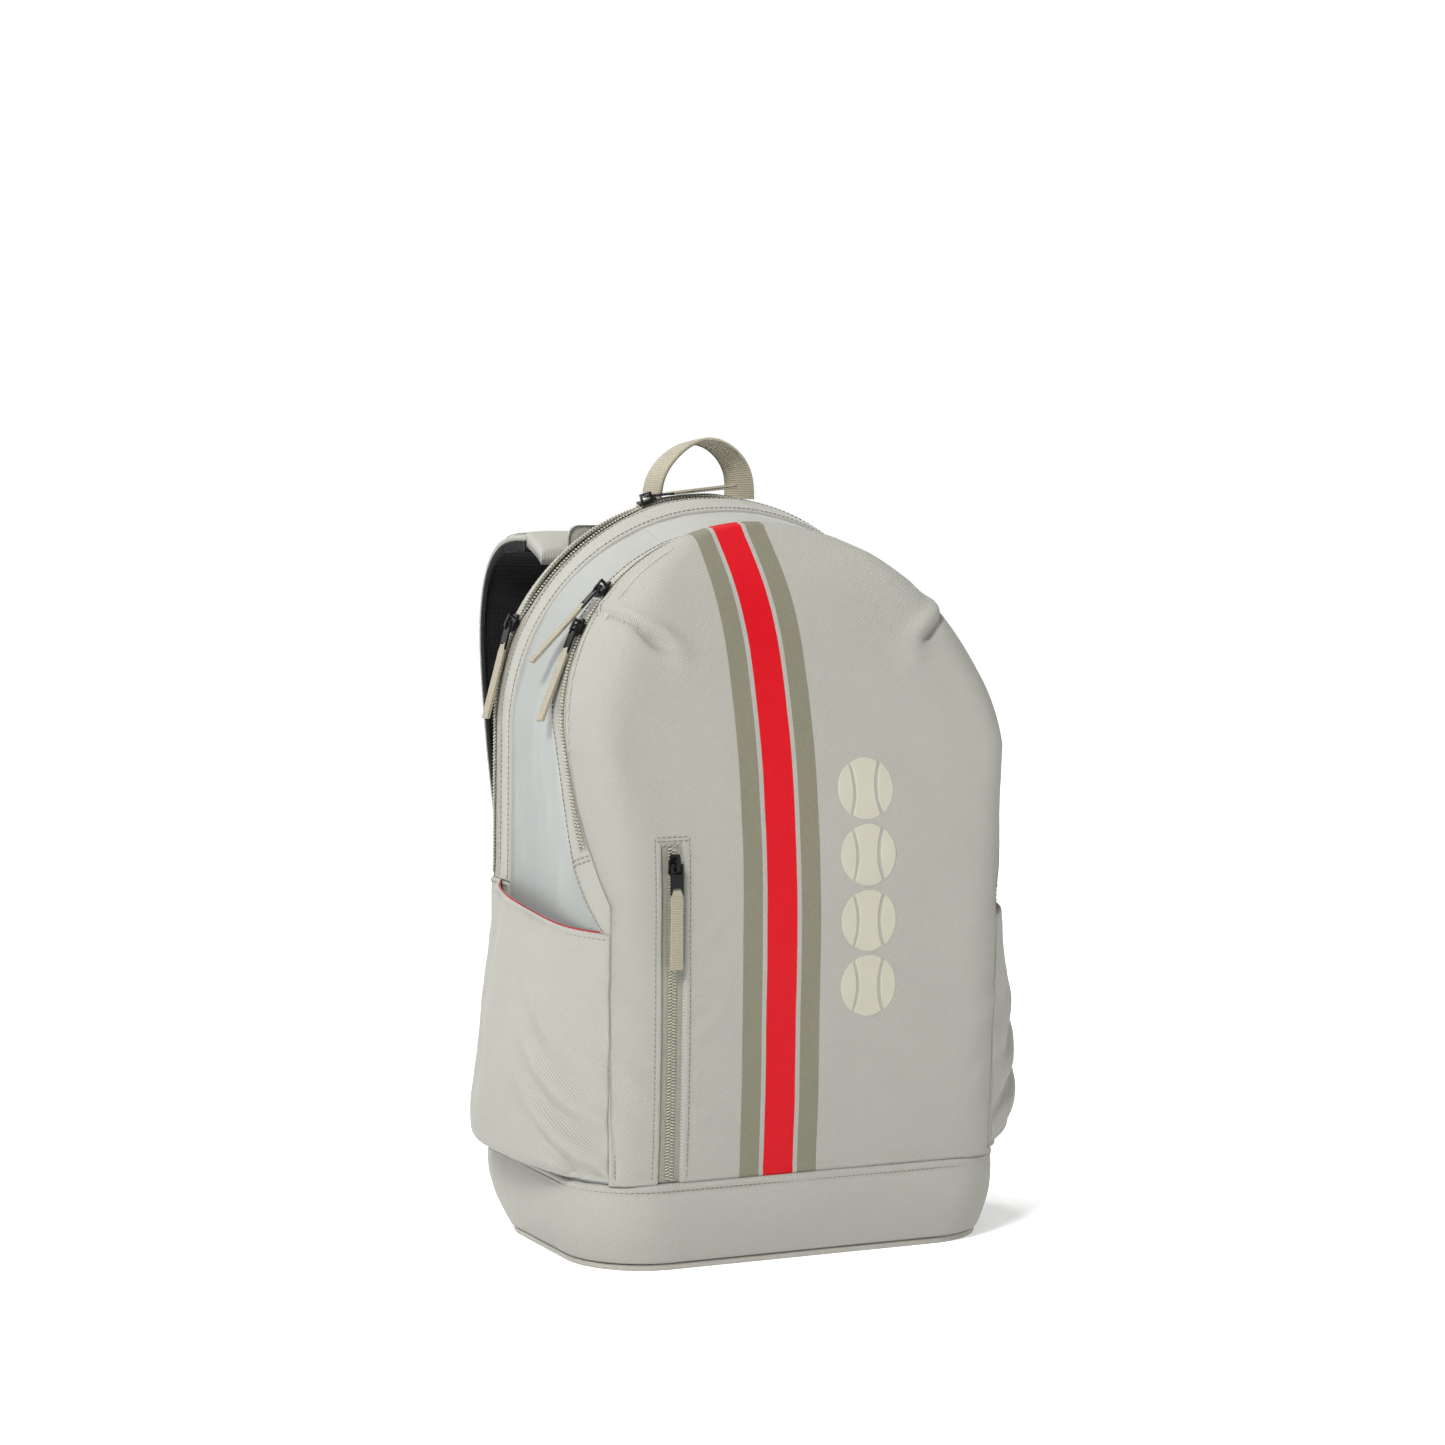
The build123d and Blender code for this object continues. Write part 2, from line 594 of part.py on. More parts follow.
def sheet_inside(points, thickness):
    """A sheet with the given side view, wide enough to fill the bag, trimmed to the bag's inside."""
    back = [(y + thickness, z) for y, z in reversed(points)]
    with BuildPart() as sheet:
        with BuildSketch(Plane.YZ.offset(-2 * HALF_W)):
            with BuildLine():
                Polyline(*points, *back, close=True)
            make_face()
        extrude(amount=4 * HALF_W)
        add(cavity, mode=Mode.INTERSECT)
    return sheet.part


lean = LEAN_SIN / LEAN_COS
divider_knee_y = RIM_Y + DIVIDER_DEPTH / LEAN_COS + lean * (DIVIDER_KNEE_Z - RIM_Z)
divider_line = [(DIVIDER_FOOT_Y, BOOT_H + 4), (divider_knee_y, DIVIDER_KNEE_Z),
                (divider_knee_y + lean * 240, DIVIDER_KNEE_Z + 240)]
pocket_divider = sheet_inside(divider_line, LINER)
save(pocket_divider, "pocket_divider")

ORGANISER_TOP = 190.0
ORGANISER_LOW = BOOT_H + 12
ORGANISER_W = 210.0
ORGANISER_GAP = 5.0
CELL_W = 66.0
CELL_PITCH = 70.0
with BuildPart() as organiser_pocket:
    with BuildSketch(Plane(origin=(0, DIVIDER_FOOT_Y - SEW_GAP, 0), x_dir=(1, 0, 0), z_dir=(0, -1, 0))):
        with Locations((0, (ORGANISER_TOP + ORGANISER_LOW) / 2)):
            Rectangle(ORGANISER_W, ORGANISER_TOP - ORGANISER_LOW)
    extrude(amount=ORGANISER_GAP + LINING_T)
    with BuildSketch(Plane(origin=(0, DIVIDER_FOOT_Y, 0), x_dir=(1, 0, 0), z_dir=(0, -1, 0))):
        for cell_x in (-CELL_PITCH, 0, CELL_PITCH):
            with Locations((cell_x, (ORGANISER_TOP + ORGANISER_LOW) / 2 + 6)):
                Rectangle(CELL_W, ORGANISER_TOP - BOOT_H)
    extrude(amount=ORGANISER_GAP, mode=Mode.SUBTRACT)
save(organiser_pocket.part, "organiser_pocket")

with BuildPart() as back_foam:
    with BuildSketch(Plane(origin=(0, FOAM_Y, 0), z_dir=(0, 1, 0), x_dir=(1, 0, 0))):
        with Locations((0, -(FOAM_TOP + FOAM_LOW) / 2)):
            RectangleRounded(2 * FOAM_HALF, FOAM_TOP - FOAM_LOW, 10)
    extrude(amount=BACK_Y - WALL - FOAM_Y - SEW_GAP)
save(back_foam.part, "back_foam")

with BuildPart() as laptop_sleeve:
    with BuildSketch(Plane.XY.offset(SLEEVE_LOW)):
        with Locations((0, (SLEEVE_FRONT_Y + FOAM_Y) / 2)):
            Rectangle(2 * SLEEVE_HALF, FOAM_Y - SLEEVE_FRONT_Y - 2 * SEW_GAP)
        with Locations((0, (SLEEVE_FRONT_Y + FOAM_Y) / 2 + LINER)):
            Rectangle(2 * (SLEEVE_HALF - LINER), FOAM_Y - SLEEVE_FRONT_Y, mode=Mode.SUBTRACT)
    extrude(amount=SLEEVE_TOP - SLEEVE_LOW)
save(laptop_sleeve.part, "laptop_sleeve")

# ---- Back: pads, yoke, handle --------------------------------------------------------------------
BACK_FACE = Plane(origin=(0, BACK_Y + SEW_GAP, 0), z_dir=(0, 1, 0), x_dir=(-1, 0, 0))
PAD_T = 12.0
PAD_EDGE_R = 7.0
PAD_W = 90.0
PAD_H = 290.0
PAD_CENTRE = (58.0, 262.0)
LUMBAR_W = 200.0
LUMBAR_H = 46.0
LUMBAR_Z = 84.0
with BuildPart() as pad_blank:
    with BuildSketch(BACK_FACE):
        with Locations(PAD_CENTRE):
            RectangleRounded(PAD_W, PAD_H, 26)
    extrude(amount=PAD_T)
    fillet(pad_blank.faces().sort_by(Axis.Y)[-1].edges(), PAD_EDGE_R)
with BuildPart() as back_pads:
    add(pad_blank.part)
    mirror(about=Plane.YZ)
save(back_pads.part, "back_pads")

with BuildPart() as lumbar_pad:
    with BuildSketch(BACK_FACE):
        with Locations((0, LUMBAR_Z)):
            RectangleRounded(LUMBAR_W, LUMBAR_H, 18)
    extrude(amount=PAD_T)
    fillet(lumbar_pad.faces().sort_by(Axis.Y)[-1].edges(), PAD_EDGE_R)
save(lumbar_pad.part, "lumbar_pad")

YOKE_T = 4.0
YOKE_W = 176.0
YOKE_H = 40.0
YOKE_Z = 434.0
with BuildPart() as strap_yoke:
    with BuildSketch(BACK_FACE):
        with Locations((0, YOKE_Z)):
            RectangleRounded(YOKE_W, YOKE_H, 8)
    extrude(amount=YOKE_T)
save(strap_yoke.part, "strap_yoke")

HANDLE_Y = 89.0
HANDLE_FOOT_X = 33.0
HANDLE_FOOT_Z = 484.0
HANDLE_APEX_Z = 513.0
HANDLE_DISC_R = WEBBING_W / 2
with BuildPart() as grab_handle:
    with BuildSketch(Plane(origin=(0, HANDLE_Y - WEBBING_W / 2, 0), x_dir=(1, 0, 0), z_dir=(0, -1, 0))):
        with BuildLine() as loop_line:
            Spline((-HANDLE_FOOT_X, HANDLE_FOOT_Z - HANDLE_DISC_R), (-HANDLE_FOOT_X + 3, HANDLE_FOOT_Z + 6),
                   (0, HANDLE_APEX_Z), (HANDLE_FOOT_X - 3, HANDLE_FOOT_Z + 6),
                   (HANDLE_FOOT_X, HANDLE_FOOT_Z - HANDLE_DISC_R))
        trace(line_width=WEBBING_T)
    extrude(amount=-WEBBING_W)
    with BuildPart(mode=Mode.PRIVATE) as handle_side:
        with BuildSketch(Plane(origin=(-2 * HANDLE_FOOT_X, HANDLE_Y, HANDLE_FOOT_Z), x_dir=(0, 1, 0),
                               z_dir=(1, 0, 0))):
            Circle(HANDLE_DISC_R)
            with Locations((0, HANDLE_APEX_Z - HANDLE_FOOT_Z)):
                Rectangle(2 * HANDLE_DISC_R, 2 * (HANDLE_APEX_Z - HANDLE_FOOT_Z))
        extrude(amount=4 * HANDLE_FOOT_X)
    add(handle_side.part, mode=Mode.INTERSECT)
save(grab_handle.part, "grab_handle")

with BuildPart() as handle_patch:
    add(body(-1.5))
    add(body(0), mode=Mode.SUBTRACT)
patch = trimmed(handle_patch.part, behind(MAIN_CHAIN_Y + CHAIN_GAP + 1), ahead(BACK_Y), above(MAIN_Z),
                right_of(-HANDLE_FOOT_X + 4), left_of(HANDLE_FOOT_X - 4))
save(patch, "handle_patch")

# ---- Shoulder straps -----------------------------------------------------------------------------
STRAP_X = 80.0
STRAP_W = 62.0
STRAP_FOAM_T = 8.0
STRAP_MESH_T = 2.5
STRAP_ROUTE = [(121, 444), (150, 447), (174, 432), (187, 402), (187, 350), (172, 285), (150, 225),
               (132, 178)]
STRAP_NECK = [(BACK_Y + YOKE_T + 2.0, 436), (104, 438.5), (109, 440)]


def band(points, low, high):
    """The side view of a strip that follows a curve in the YZ plane, between two offsets from it."""
    with BuildLine(mode=Mode.PRIVATE):
        route = Spline(*points)
    steps = [step / 12 for step in range(13)]
    spots = [(route @ step, route % step) for step in steps]
    upper = [(spot.X - tangent.Y * high, spot.Y + tangent.X * high) for spot, tangent in spots]
    lower = [(spot.X - tangent.Y * low, spot.Y + tangent.X * low) for spot, tangent in spots]
    with BuildSketch() as outline:
        with BuildLine():
            Spline(*upper)
            Line(upper[-1], lower[-1])
            Spline(*reversed(lower))
            Line(lower[0], upper[0])
        make_face()
    return outline.sketch


def strap_piece(side, points, low, high, width):
    """A strap's layer: its side view drawn across the strap's width."""
    middle = side * STRAP_X
    with BuildPart() as piece:
        with BuildSketch(Plane.YZ.offset(middle - width / 2)):
            add(band(points, low, high))
        extrude(amount=width)
    return piece.part


WEB_TOP = (STRAP_ROUTE[-1][0], STRAP_ROUTE[-1][1])
ANCHOR_X = 128.0
ANCHOR_Y = BACK_Y + 10.0
ANCHOR_Z = 84.0
LOWER_WEB_T = 1.6
LOCK_W = 33.0
LOCK_L = 24.0
LOCK_T = 5.0
LOCK_DROP = 5.0           # gap between the strap's end and its ladder lock
LOCK_SLOT_L = 4.4
NECK_HALF_T = 3.0
NECK_W = STRAP_W - 12
ANCHOR_PATCH = (28.0, 30.0)
ANCHOR_PLACES = ((-118, 76), (118, 76))

for side_name, side in (("left", -1), ("right", 1)):
    save(strap_piece(side, STRAP_ROUTE, 0, STRAP_FOAM_T, STRAP_W), f"strap_pad_{side_name}")
    save(strap_piece(side, STRAP_ROUTE, -STRAP_MESH_T, -SEW_GAP, STRAP_W - 4), f"strap_mesh_{side_name}")
    top = Vector(side * STRAP_X, WEB_TOP[0] - 1, WEB_TOP[1] - 3)
    foot = Vector(side * ANCHOR_X, ANCHOR_Y, ANCHOR_Z)
    run = foot - top
    across = Vector(1, 0, 0) - run.normalized() * Vector(1, 0, 0).dot(run.normalized())
    web_plane = Plane(origin=top, x_dir=across, z_dir=run)
    lock_plane = Plane(origin=top + run.normalized() * (LOCK_L / 2 + LOCK_DROP), x_dir=across,
                       z_dir=run.cross(across))
    with BuildPart() as ladder_lock:
        with BuildSketch(lock_plane.offset(-LOCK_T / 2)):
            RectangleRounded(LOCK_W, LOCK_L, 3)
            for slot_y in (-5.4, 5.4):
                with Locations((0, slot_y)):
                    Rectangle(WEBBING_W + 1.6, LOCK_SLOT_L, mode=Mode.SUBTRACT)
        extrude(amount=LOCK_T)
    save(ladder_lock.part, f"ladder_lock_{side_name}")
    with BuildPart() as strap_web:
        with BuildSketch(web_plane.offset(LOCK_L + LOCK_DROP + 2)):
            Rectangle(WEBBING_W, LOWER_WEB_T)
        extrude(amount=run.length - LOCK_L - LOCK_DROP - 2 - WEBBING_W / 2)
    save(strap_web.part, f"strap_webbing_{side_name}")

with BuildPart() as strap_necks:
    for side in (-1, 1):
        add(strap_piece(side, STRAP_NECK, -NECK_HALF_T, NECK_HALF_T, NECK_W))
save(strap_necks.part, "strap_necks")

with BuildPart() as strap_anchors:
    with BuildSketch(BACK_FACE):
        with Locations(*ANCHOR_PLACES):
            RectangleRounded(*ANCHOR_PATCH, 6)
    extrude(amount=YOKE_T)
save(strap_anchors.part, "strap_anchors")
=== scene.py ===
from math import cos, pi, radians, sin, tan

import bmesh
import bpy
import numpy as np
from mathutils import Matrix, Vector, noise
from mathutils.bvhtree import BVHTree


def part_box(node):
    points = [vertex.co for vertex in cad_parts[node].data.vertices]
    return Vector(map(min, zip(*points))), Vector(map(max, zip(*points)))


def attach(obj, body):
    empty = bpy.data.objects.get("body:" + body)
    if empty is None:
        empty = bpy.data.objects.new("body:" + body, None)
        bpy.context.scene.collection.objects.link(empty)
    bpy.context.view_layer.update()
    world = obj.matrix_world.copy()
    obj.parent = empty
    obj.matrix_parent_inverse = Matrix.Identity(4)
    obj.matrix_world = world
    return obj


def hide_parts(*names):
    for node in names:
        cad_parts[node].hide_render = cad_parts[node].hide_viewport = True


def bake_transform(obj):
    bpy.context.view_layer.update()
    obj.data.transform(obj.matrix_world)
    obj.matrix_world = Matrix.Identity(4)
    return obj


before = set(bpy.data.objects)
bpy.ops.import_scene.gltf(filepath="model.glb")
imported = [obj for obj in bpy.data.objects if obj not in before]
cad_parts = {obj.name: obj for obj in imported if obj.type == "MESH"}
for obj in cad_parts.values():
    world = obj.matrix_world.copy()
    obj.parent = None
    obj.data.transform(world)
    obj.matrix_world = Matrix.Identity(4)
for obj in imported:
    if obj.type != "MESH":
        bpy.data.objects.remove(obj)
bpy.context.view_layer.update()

MM = 0.001                # every length below is in millimetres until a mesh is made

# ---- Driving dimensions, the same as the frame's -----------------------------------------------------------
RIM_Y, RIM_Z, RIM_R = -60.0, 319.0, 150.0      # the front zip's arch
RIM_SIN, RIM_COS = sin(radians(20.3)), cos(radians(20.3))
RIM_FLARE = tan(radians(10.0))
TAPE_FRONT, TAPE_REAR = 5.2, 24.0              # the front zip's tape, measured behind the rim
FRONT_CHAIN = 10.4        # its teeth, measured the same way
STRIP_END = 356.0         # the front zip's strip runs out at the side pocket, this far round from the top
CHAIN_STOP = 292.0        # its teeth end here
STRIP_TURN = 300.0        # and its rear seam starts closing in here
MAIN_Z = 326.0            # where the main zip's arch begins
ARC = pi / 2 * RIM_R      # from the crown of either arch to the foot of its curve
SEAM_Y = -88.0            # front side seams
BAND_Y, SIDE_END_Y, CHAIN_Y, BACK_TAPE_Y, BACK_Y = 40.0, 58.0, 70.0, 82.0, 92.0
MOUTH = (108.0, 152.0)    # the main zip stands open between these angles of its arch
BOOT_Z, SPLIT_Z, FOLD_Z = 55.0, 228.0, 288.0
CORNER = 50.0
WELT_X, WELT_HIGH, WELT_HALF = -98.0, 266.0, 8.0
SKIN_T = 1.6              # thickness of a finished panel


# ---- Small tools -------------------------------------------------------------------------------------------
def spline(knots, values):
    """A natural cubic spline through (knot, value) pairs, as a function on arrays."""
    knots = np.array(knots, float)
    values = np.array(values, float)
    count = len(knots)
    gaps = np.diff(knots)
    system = np.eye(count)
    right = np.zeros(count)
    for i in range(1, count - 1):
        system[i, i - 1:i + 2] = gaps[i - 1], 2 * (gaps[i - 1] + gaps[i]), gaps[i]
        right[i] = 6 * ((values[i + 1] - values[i]) / gaps[i] - (values[i] - values[i - 1]) / gaps[i - 1])
    bend = np.linalg.solve(system, right)

    def value(x):
        x = np.clip(np.asarray(x, float), knots[0], knots[-1])
        i = np.clip(np.searchsorted(knots, x) - 1, 0, count - 2)
        a = (knots[i + 1] - x) / gaps[i]
        b = 1 - a
        curve = ((a ** 3 - a) * bend[i] + (b ** 3 - b) * bend[i + 1]) * gaps[i] ** 2 / 6
        return a * values[i] + b * values[i + 1] + curve
    return value


def spread(low, high, step):
    """Evenly spaced values with more of them close to both ends."""
    count = max(2, int(round((high - low) / step)) + 1)
    ends = np.array([0.35, 0.9, 1.8])
    values = np.concatenate([np.linspace(low, high, count), low + ends, high - ends])
    values = np.unique(np.round([v for v in values if low <= v <= high], 3))
    keep = [values[0]]
    for v in values[1:]:
        if v - keep[-1] > 0.25:
            keep.append(v)
    keep[-1] = high
    return np.array(keep)


def ripple(points, size, seed=0.0):
    """Soft noise between about -1 and 1 at each point, with features of the given size."""
    flat = points.reshape(-1, 3) / size
    total = np.zeros(len(flat))
    for octave in range(2):
        scale = 2.0 ** octave
        total += [noise.noise(Vector(p) * scale + Vector((seed, 7.3 * octave, 0))) / scale for p in flat]
    return total.reshape(points.shape[:-1])


def merged(*groups, digits=4):
    """The values of all the groups in order, each of them once."""
    return np.unique(np.round(np.concatenate(groups), digits))


def bump(distance, width):
    """1 where distance is 0, falling off smoothly over the width."""
    return np.exp(-(distance / width) ** 2)


def unit(vectors):
    return vectors / np.maximum(np.linalg.norm(vectors, axis=-1, keepdims=True), 1e-9)


def make_object(name, verts, faces, uvs):
    """A smooth mesh object from points in millimetres; uvs is one (u, v) in metres per vertex."""
    mesh = bpy.data.meshes.new(name)
    mesh.from_pydata([tuple(v) for v in np.asarray(verts) * MM], [], faces)
    mesh.update()
    layer = mesh.uv_layers.new(name="cloth")
    index = np.empty(len(mesh.loops), np.int32)
    mesh.loops.foreach_get("vertex_index", index)
    layer.data.foreach_set("uv", np.asarray(uvs, np.float32)[index].ravel())
    mesh.shade_smooth()
    obj = bpy.data.objects.new(name, mesh)
    bpy.context.scene.collection.objects.link(obj)
    return obj


def finish_piece(obj, body, slot, material, *replaced):
    """Gives a piece its material and its body, and hides the frame nodes that it stands for; slot is not used.
    """
    obj.data.materials.clear()
    obj.data.materials.append(material)
    if body:
        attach(obj, body)
    if replaced:
        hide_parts(*replaced)
    return obj


def run_lengths(grid):
    """Distances over a grid of points from its first row and from its first column."""
    along = np.cumsum(np.linalg.norm(np.diff(grid, axis=0, prepend=grid[:1]), axis=2), axis=0)
    across = np.cumsum(np.linalg.norm(np.diff(grid, axis=1, prepend=grid[:, :1]), axis=2), axis=1)
    return along, across


def sheet_mesh(name, place, us, vs, lift, thick=SKIN_T, roll=1.3, uv=None, rolled=(1, 1, 1, 1)):
    """A sewn panel: place(u, v, h) over a grid, with rolled edges and a real thickness.

    lift adds to h at each place, and rolled says which edges turn in: low u, high u, low v, high v.
    """
    u, v = np.meshgrid(us, vs, indexing="ij")
    flat = place(u, v, np.zeros_like(u))
    along, across = run_lengths(flat)
    edges = [along, along[-1:] - along, across, across[:, -1:] - across]
    near = np.full(u.shape, 1e3)
    for used, edge in zip(rolled, edges):
        if used:
            near = np.minimum(near, edge)
    inner = np.clip(roll - near, 0, roll)
    height = -(roll - np.sqrt(np.maximum(roll ** 2 - inner ** 2, 0))) * min(1.0, thick / roll)
    height = height + lift(u, v, flat, near)
    top = place(u, v, height)
    low = place(u, v, height - thick)
    rows, cols = u.shape
    verts = np.concatenate([top.reshape(-1, 3), low.reshape(-1, 3)])
    base = rows * cols
    faces = []
    for i in range(rows - 1):
        for j in range(cols - 1):
            a, b, c, d = i * cols + j, i * cols + j + 1, (i + 1) * cols + j + 1, (i + 1) * cols + j
            faces.append((a, d, c, b))
            faces.append((a + base, b + base, c + base, d + base))
    first, last = np.arange(cols), np.arange(cols) + (rows - 1) * cols
    left, right = np.arange(rows) * cols, np.arange(rows) * cols + cols - 1
    for edge in (first, last[::-1], left[::-1], right):
        faces += [(int(a), int(b), int(b) + base, int(a) + base) for a, b in zip(edge[:-1], edge[1:])]
    if uv is None:
        rows_u, cols_v = along.mean(axis=1, keepdims=True), across.mean(axis=0, keepdims=True)
        uvs = np.stack(np.broadcast_arrays(rows_u, cols_v), axis=-1)
    else:
        uvs = uv(u, v, flat)
    uvs = np.tile(uvs.reshape(-1, 2), (2, 1)) * MM
    obj = make_object(name, verts, faces, uvs)
    flip_outward(obj, top, place(u, v, height + 1) - top)
    return obj


def flip_outward(obj, top, out):
    """Turns the faces over if the first layer's faces look inwards."""
    polygon = obj.data.polygons[len(obj.data.polygons) // 4 * 2]
    corner = polygon.vertices[0] % (top.shape[0] * top.shape[1])
    direction = out.reshape(-1, 3)[corner]
    side = 1 if polygon.vertices[0] < top.shape[0] * top.shape[1] else -1
    if side * Vector(direction).dot(polygon.normal) < 0:
        obj.data.flip_normals()


def resample(points, step):
    """Points at even distances along a polyline, those distances, and the distances of its own points."""
    steps = np.linalg.norm(np.diff(points, axis=0), axis=1)
    run = np.concatenate([[0], np.cumsum(steps)])
    count = max(1, int(run[-1] / step))
    at = (np.arange(count) + 0.5) * run[-1] / count
    return np.stack([np.interp(at, run, points[:, k]) for k in range(3)], axis=1), at, run


def repeated(name, centres, along, out, template, template_faces):
    """One mesh of many copies of a small template, each in its own (along, across, out) frame."""
    along = unit(along)
    out = unit(out - along * np.sum(out * along, axis=1, keepdims=True))
    across = np.cross(out, along)
    shape = template[None, :, :]
    verts = (centres[:, None, :] + along[:, None, :] * shape[..., 0:1] + across[:, None, :] * shape[..., 1:2]
             + out[:, None, :] * shape[..., 2:3])
    size = len(template)
    faces = [tuple(i + k * size for i in face) for k in range(len(centres)) for face in template_faces]
    uvs = np.tile(template[:, :2] * MM, (len(centres), 1))
    return make_object(name, verts.reshape(-1, 3), faces, uvs)


RINGS = (-0.5, -0.38, 0.0, 0.38, 0.5)
GIRTH = (0.45, 0.9, 1.0, 0.9, 0.45)


def capsule(length, width, height, sides=6, rings=RINGS, girth=GIRTH):
    """A small rounded bar along x, used for stitches and zip teeth."""
    verts = []
    for x, g in zip(rings, girth):
        for k in range(sides):
            turn = 2 * pi * k / sides
            verts.append((x * length, cos(turn) * width / 2 * g, sin(turn) * height / 2 * g))
    faces = []
    for r in range(len(rings) - 1):
        for k in range(sides):
            a, b = r * sides + k, r * sides + (k + 1) % sides
            faces.append((a, b, b + sides, a + sides))
    faces.append(tuple(range(sides))[::-1])
    faces.append(tuple(range((len(rings) - 1) * sides, len(rings) * sides)))
    return np.array(verts), faces


STITCH, STITCH_FACES = capsule(2.5, 0.75, 0.6)


def frames_along(place, us, vs, h=0.0):
    """Points and outward normals along a line of (u, v) places."""
    us, vs = np.broadcast_arrays(np.asarray(us, float), np.asarray(vs, float))
    points = place(us, vs, np.full(us.shape, h))
    out = place(us, vs, np.full(us.shape, h + 1.0)) - points
    return points, out


def evenly(points, out, step):
    """Points, directions and normals at an even spacing along a line."""
    centres, at, run = resample(points, step)
    ahead = np.stack([np.interp(at + 0.4, run, points[:, k]) for k in range(3)], axis=1)
    behind = np.stack([np.interp(at - 0.4, run, points[:, k]) for k in range(3)], axis=1)
    normal = np.stack([np.interp(at, run, out[:, k]) for k in range(3)], axis=1)
    return centres, ahead - behind, normal


def sew(name, lines, step=3.3):
    """A run of stitches along each line of (points, normals), as one piece."""
    parts = [evenly(points, out, step) for points, out in lines]
    centres, along, out = (np.concatenate([p[k] for p in parts]) for k in range(3))
    return repeated(name, centres, along, out, STITCH, STITCH_FACES)


# ---- The bag's skin, read from the frame -------------------------------------------------------------------
SKIN_NODES = ["front_panel_lower", "front_flap", "side_lower_left", "side_lower_right", "side_panel_left",
              "side_panel_right", "top_panel", "main_band", "back_gusset", "back_panel", "main_zip_tape_back",
              "main_zip_tape_front", "front_zip_tape", "base_boot"]


def skin_tree():
    verts, faces = [], []
    for name in SKIN_NODES:
        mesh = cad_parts[name].data
        start = len(verts)
        verts += [v.co / MM for v in mesh.vertices]
        faces += [tuple(i + start for i in p.vertices) for p in mesh.polygons]
    return BVHTree.FromPolygons(verts, faces)


def spine(s):
    """Where the ray for a place s round the arch starts and which way it points, in x and z."""
    turn = np.clip(s, -ARC, ARC) / RIM_R
    height = MAIN_Z - np.maximum(np.abs(s) - ARC, 0)
    return height, np.sin(turn), np.cos(turn)


GRID_STEP_S, GRID_STEP_Y = 4.0, 3.0
GRID_S = np.arange(-512.0, 512.1, GRID_STEP_S)
GRID_Y = np.arange(-97.0, 92.1, GRID_STEP_Y)


def skin_radius():
    """How far the skin stands from the arch's spine, over a grid of places round and along the bag."""
    tree = skin_tree()
    reach = 400.0
    radius = np.full((len(GRID_S), len(GRID_Y)), np.nan)
    for i, s in enumerate(GRID_S):
        height, dx, dz = (float(a) for a in spine(s))
        for j, y in enumerate(GRID_Y):
            y = min(y, BACK_Y - 0.3)
            start = Vector((dx * reach, y, height + dz * reach))
            hit, _, _, distance = tree.ray_cast(start, Vector((-dx, 0, -dz)))
            if hit is not None and distance < reach - 60:
                radius[i, j] = reach - distance
        known = ~np.isnan(radius[i])
        radius[i] = np.interp(GRID_Y, GRID_Y[known], radius[i][known])
    for _ in range(3):
        for axis in (0, 1):
            ahead = np.roll(radius, 1, axis)
            after = np.roll(radius, -1, axis)
            mixed = (ahead + 2 * radius + after) / 4
            keep = [slice(None), slice(None)]
            keep[axis] = slice(1, -1)
            radius[tuple(keep)] = mixed[tuple(keep)]
    return radius


RADIUS = skin_radius()


def skin_point(s, y):
    i = np.clip((s - GRID_S[0]) / GRID_STEP_S, 0, len(GRID_S) - 1.001)
    j = np.clip((y - GRID_Y[0]) / GRID_STEP_Y, 0, len(GRID_Y) - 1.001)
    a, b = i.astype(int), j.astype(int)
    p, q = i - a, j - b
    r = ((RADIUS[a, b] * (1 - q) + RADIUS[a, b + 1] * q) * (1 - p)
         + (RADIUS[a + 1, b] * (1 - q) + RADIUS[a + 1, b + 1] * q) * p)
    height, dx, dz = spine(s)
    return np.stack([dx * r, y, height + dz * r], axis=-1)


def skin(s, y, h):
    """A place on the bag's sides and top: s round the arch from its crown, y front to back, h outwards."""
    s, y, h = np.broadcast_arrays(np.asarray(s, float), np.asarray(y, float), np.asarray(h, float))
    step = 3.0
    round_way = skin_point(s + step, y) - skin_point(s - step, y)
    back_way = skin_point(s, y + step) - skin_point(s, y - step)
    out = unit(np.cross(round_way, back_way))
    return skin_point(s, y) + out * h[..., None]


def round_arch(x, z):
    """The place round the arch that a point in the front view belongs to."""
    turn = np.arctan2(x, np.maximum(z - MAIN_Z, 0))
    return np.where(z >= MAIN_Z, RIM_R * turn, np.sign(x) * (ARC + MAIN_Z - z))


def rim(sigma, depth):
    """(s, y) of a place on the front zip: sigma round the front arch, depth behind its rim."""
    turn = np.clip(sigma, -ARC, ARC) / RIM_R
    reach = RIM_R + depth * RIM_FLARE
    x = reach * np.sin(turn)
    rise = reach * np.cos(turn) - np.maximum(np.abs(sigma) - ARC, 0)
    y = RIM_Y + rise * RIM_SIN + depth * RIM_COS
    z = RIM_Z + rise * RIM_COS - depth * RIM_SIN
    return round_arch(x, z), np.maximum(y, SEAM_Y)


def rim_skin(sigma, depth, h):
    s, y = rim(sigma, depth)
    return skin(s, y, h)


def strip_rear(sigma):
    """Depth of the front zip strip's rear seam: it closes on the front seam at the strip's end."""
    past = np.clip((np.abs(sigma) - STRIP_TURN) / (STRIP_END - STRIP_TURN), 0, 1)
    return TAPE_REAR - 9.3 * past ** 1.2


# ---- The front face ----------------------------------------------------------------------------------------
FRONT_PROFILE = spline([40, 55, 120, 190, 250, 310, 360, 400, 430, 463],
                       [-97, -98, -100.5, -100.5, -97.5, -89, -76, -60, -39, -5])
RIM_BACK = -54.5
CORNER_DEPTH = 47.5
WELT_COLUMN = 110.0       # columns of the front cloth nearer the middle than this run straight up


def front_edge_y(z):
    return np.maximum(SEAM_Y - 0.1, RIM_BACK + RIM_SIN / RIM_COS * (z - RIM_Z))


